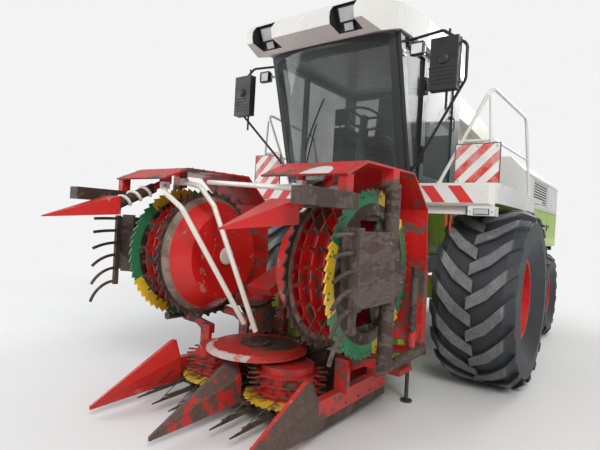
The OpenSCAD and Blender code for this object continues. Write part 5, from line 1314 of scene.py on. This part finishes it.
# Points between the dividers: leaf-shaped, ridged, each with a steel wire over it
for side, s in SIDES:
    points = Shape(s)
    for x in (230, 430, 620):
        rings = []
        for u in (0.0, 0.12, 0.35, 0.6, 0.82, 1.0):
            w = 33 * (1 - u) ** 0.75 * (0.72 + 1.2 * u * (1 - u)) + 3.5
            h = 27 * (1 - u) ** 0.8 + 4
            y, z = -2548 - 470 * u, 134 - 34 * u
            rings.append([(x - w, y, z - 5), (x - w * 0.86, y, z + 3), (x, y, z + h),
                          (x + w * 0.86, y, z + 3), (x + w, y, z - 5), (x, y, z - h * 0.6)])
        points.loft(rings)
        points.kind = 1
        wire = [(x + 46, -2545, 200), (x + 44, -2620, 236), (x + 20, -2800, 176), (x + 4, -2930, 112)]
        points.pipe(curve(wire), 4, 8)
        points.turned((x + 46, -2556, 200), (0, -1, 0), [(-4, 12), (8, 12), (12, 7)], 14)
        points.kind = 0
    points.piece("row_points_" + side, "header", POINT_BROWN, STEEL, slot="header_worn")

    # Rings, grip and bolts of the parking leg's sleeve
    stand = Shape(s)
    stand.turned((930, -1230, 600), (0, 0, 1), [(0, 37), (24, 37), (28, 32)], 28)
    stand.turned((930, -1230, 286), (0, 0, 1), [(0, 38), (22, 38)], 28)
    stand.pipe(curve([(884, -1230, 470), (950, -1230, 470), (985, -1230, 468), (992, -1230, 440)]), 7, 10)
    for z in (340, 560):
        stand.bolt((930, -1260.2, z), (0, -1, 0), 9, 7)
    stand.piece("stand_sleeve_" + side, "header", MAT["header_red"], slot="header_red")

# A pale cap in the middle of each big drum, as a real one covers its bearing
for side, s in SIDES:
    cap = Shape(s)
    cap.turned((450.5, ROTOR_Y, ROTOR_Z), (-1, 0, 0),
               [(0, 80), (9, 79), (13, 72), (15, 40), (15.5, 10)], 44)
    cap.piece("drum_cap_" + side, "wing_rotor_" + side + "_body", MAT["spout_white"], slot="spout_white")

# Red tags that hang from the beam
tags = Shape()
for x, y, z, long, swing in ((1041, -752, 1759, 120, 8), (1100, -752, 1759, 175, -12)):
    path = curve([(x, y, z + 4), (x + swing * 0.5, y - 5, z - long * 0.3),
                  (x + swing, y - 3, z - long * 0.7), (x + swing * 0.6, y, z - long)], 4)
    section = ((-9, -1), (9, -1), (9, 1), (-9, 1))
    tags.loft([[(p.x + dx, p.y + dy, p.z) for dx, dy in section] for p in path])
tags.piece("beam_tags", "machine", DECAL_RED)

# Seams and catches on the rear body's top
top = Shape()
for y in (2180, 3060, 3780):
    top.block((-1118, y - 3, 2659.7), (1118, y + 3, 2661.2), 0.5)
for x in (-560, 560):
    top.block((x - 3, 1510, 2659.7), (x + 3, 4520, 2661.2), 0.5)
top.piece("body_top_seams", "machine", SEAM)
catches = Shape()
for x in (-900, 900):
    for y in (2100, 2980, 3700):
        catches.block((x - 40, y - 12, 2659.8), (x + 40, y + 12, 2668), 3)
        catches.turned((x, y, 2667.8), (0, 0, 1), [(0, 10), (5, 10), (7, 6)], 16)
catches.block((1190, 4580.2, 1950), (1222, 4590, 2080), 3)
catches.turned((1206, 4589.8, 2015), (0, 1, 0), [(0, 12), (4, 12), (6, 7)], 20)
catches.piece("body_catches", "machine", STEEL)


# Stage, light and camera. The camera stands and turns as the photo's did; its focal length is in pixels.
PHOTO_SIZE = (600, 450)
FOCAL_PIXELS = 463.155
CAMERA_PLACE = (2.615, -5.853, 1.592)
YAW_PITCH_ROLL = (36.471, -0.277, 3.122)


def stage_material():
    m, t, shader = material("studio_floor")
    tone = t.ramp(t.noise(t.place(), 0.6, 3.0), 0.3, 0.7)
    base = t.mix(tone, (0.72, 0.72, 0.72), (0.76, 0.76, 0.76))
    connect(t, shader, color=base, rough=0.85, spec=0.1)
    axes = t.xyz()
    far = t.ramp(radius(t, axes["X"], axes["Y"], 0.0, 0.0), 3.6, 8.5)
    glow = t.add("ShaderNodeEmission", {"Color": (0.9, 0.9, 0.9, 1.0), "Strength": 1.0})
    blend = t.add("ShaderNodeMixShader", {0: far, 1: shader.outputs["BSDF"], 2: glow.outputs["Emission"]})
    output = next(n for n in t.nodes if n.bl_idname == "ShaderNodeOutputMaterial")
    t.tree.links.new(blend.outputs["Shader"], output.inputs["Surface"])
    return m


def make_stage():
    mesh = bpy.data.meshes.new("floor")
    w = 400.0
    mesh.from_pydata([(-w, -w, 0), (w, -w, 0), (w, w, 0), (-w, w, 0)], [], [(0, 1, 2, 3)])
    floor = bpy.data.objects.new("floor", mesh)
    bpy.context.scene.collection.objects.link(floor)
    floor.data.materials.append(stage_material())


def make_world():
    world = bpy.data.worlds.new("studio")
    bpy.context.scene.world = world
    world.use_nodes = True
    world.node_tree.nodes.clear()
    t = Tree(world.node_tree)
    normal = t.add("ShaderNodeTexCoord").outputs["Generated"]
    z = t.add("ShaderNodeSeparateXYZ", {"Vector": normal}).outputs["Z"]
    sky = t.mix(t.ramp(z, -0.1, 0.9), (0.62, 0.64, 0.66), (1.0, 1.0, 1.0))
    light = t.add("ShaderNodeBackground", {"Color": sky, "Strength": 0.56})
    seen = t.add("ShaderNodeBackground", {"Color": (0.9, 0.9, 0.9, 1.0), "Strength": 1.0})
    path = t.add("ShaderNodeLightPath").outputs["Is Camera Ray"]
    split = t.add("ShaderNodeMixShader", {0: path, 1: light.outputs[0], 2: seen.outputs[0]})
    output = t.add("ShaderNodeOutputWorld")
    t.tree.links.new(split.outputs[0], output.inputs["Surface"])


def area_light(name, place, target, size, power, color=(1.0, 1.0, 1.0)):
    data = bpy.data.lights.new(name, "AREA")
    data.shape = "RECTANGLE"
    data.size, data.size_y = size
    data.energy = power
    data.color = color
    lamp = bpy.data.objects.new(name, data)
    lamp.location = place
    lamp.rotation_euler = (Vector(target) - Vector(place)).to_track_quat("-Z", "Y").to_euler()
    bpy.context.scene.collection.objects.link(lamp)


def make_camera():
    yaw, pitch, roll = (math.radians(v) for v in YAW_PITCH_ROLL)
    forward = Vector((-math.sin(yaw) * math.cos(pitch), math.cos(yaw) * math.cos(pitch), math.sin(pitch)))
    right = Vector((math.cos(yaw), math.sin(yaw), 0.0))
    up = right.cross(forward)
    r = right * math.cos(roll) + up * math.sin(roll)
    u = up * math.cos(roll) - right * math.sin(roll)
    data = bpy.data.cameras.new("camera")
    data.sensor_fit = "HORIZONTAL"
    data.sensor_width = 36.0
    data.lens = data.sensor_width * FOCAL_PIXELS / PHOTO_SIZE[0]
    data.clip_end = 2000.0
    camera = bpy.data.objects.new("camera", data)
    turn = Matrix((r, u, -forward)).transposed().to_4x4()
    camera.matrix_world = Matrix.Translation(CAMERA_PLACE) @ turn
    bpy.context.scene.collection.objects.link(camera)
    bpy.context.scene.camera = camera


make_stage()
make_world()
area_light("key", (6.5, -9.0, 8.0), (0.0, -1.5, 1.2), (5.0, 4.0), 820.0, (1.0, 0.98, 0.95))
area_light("fill", (-8.0, -6.0, 5.0), (0.0, -1.5, 1.2), (6.0, 5.0), 420.0, (0.95, 0.97, 1.0))
area_light("rim", (3.0, 9.0, 7.0), (0.0, 0.5, 1.5), (6.0, 4.0), 500.0)
make_camera()

scene = bpy.context.scene
scene.render.resolution_x, scene.render.resolution_y = PHOTO_SIZE
scene.render.resolution_percentage = 100
scene.view_settings.view_transform = "Standard"
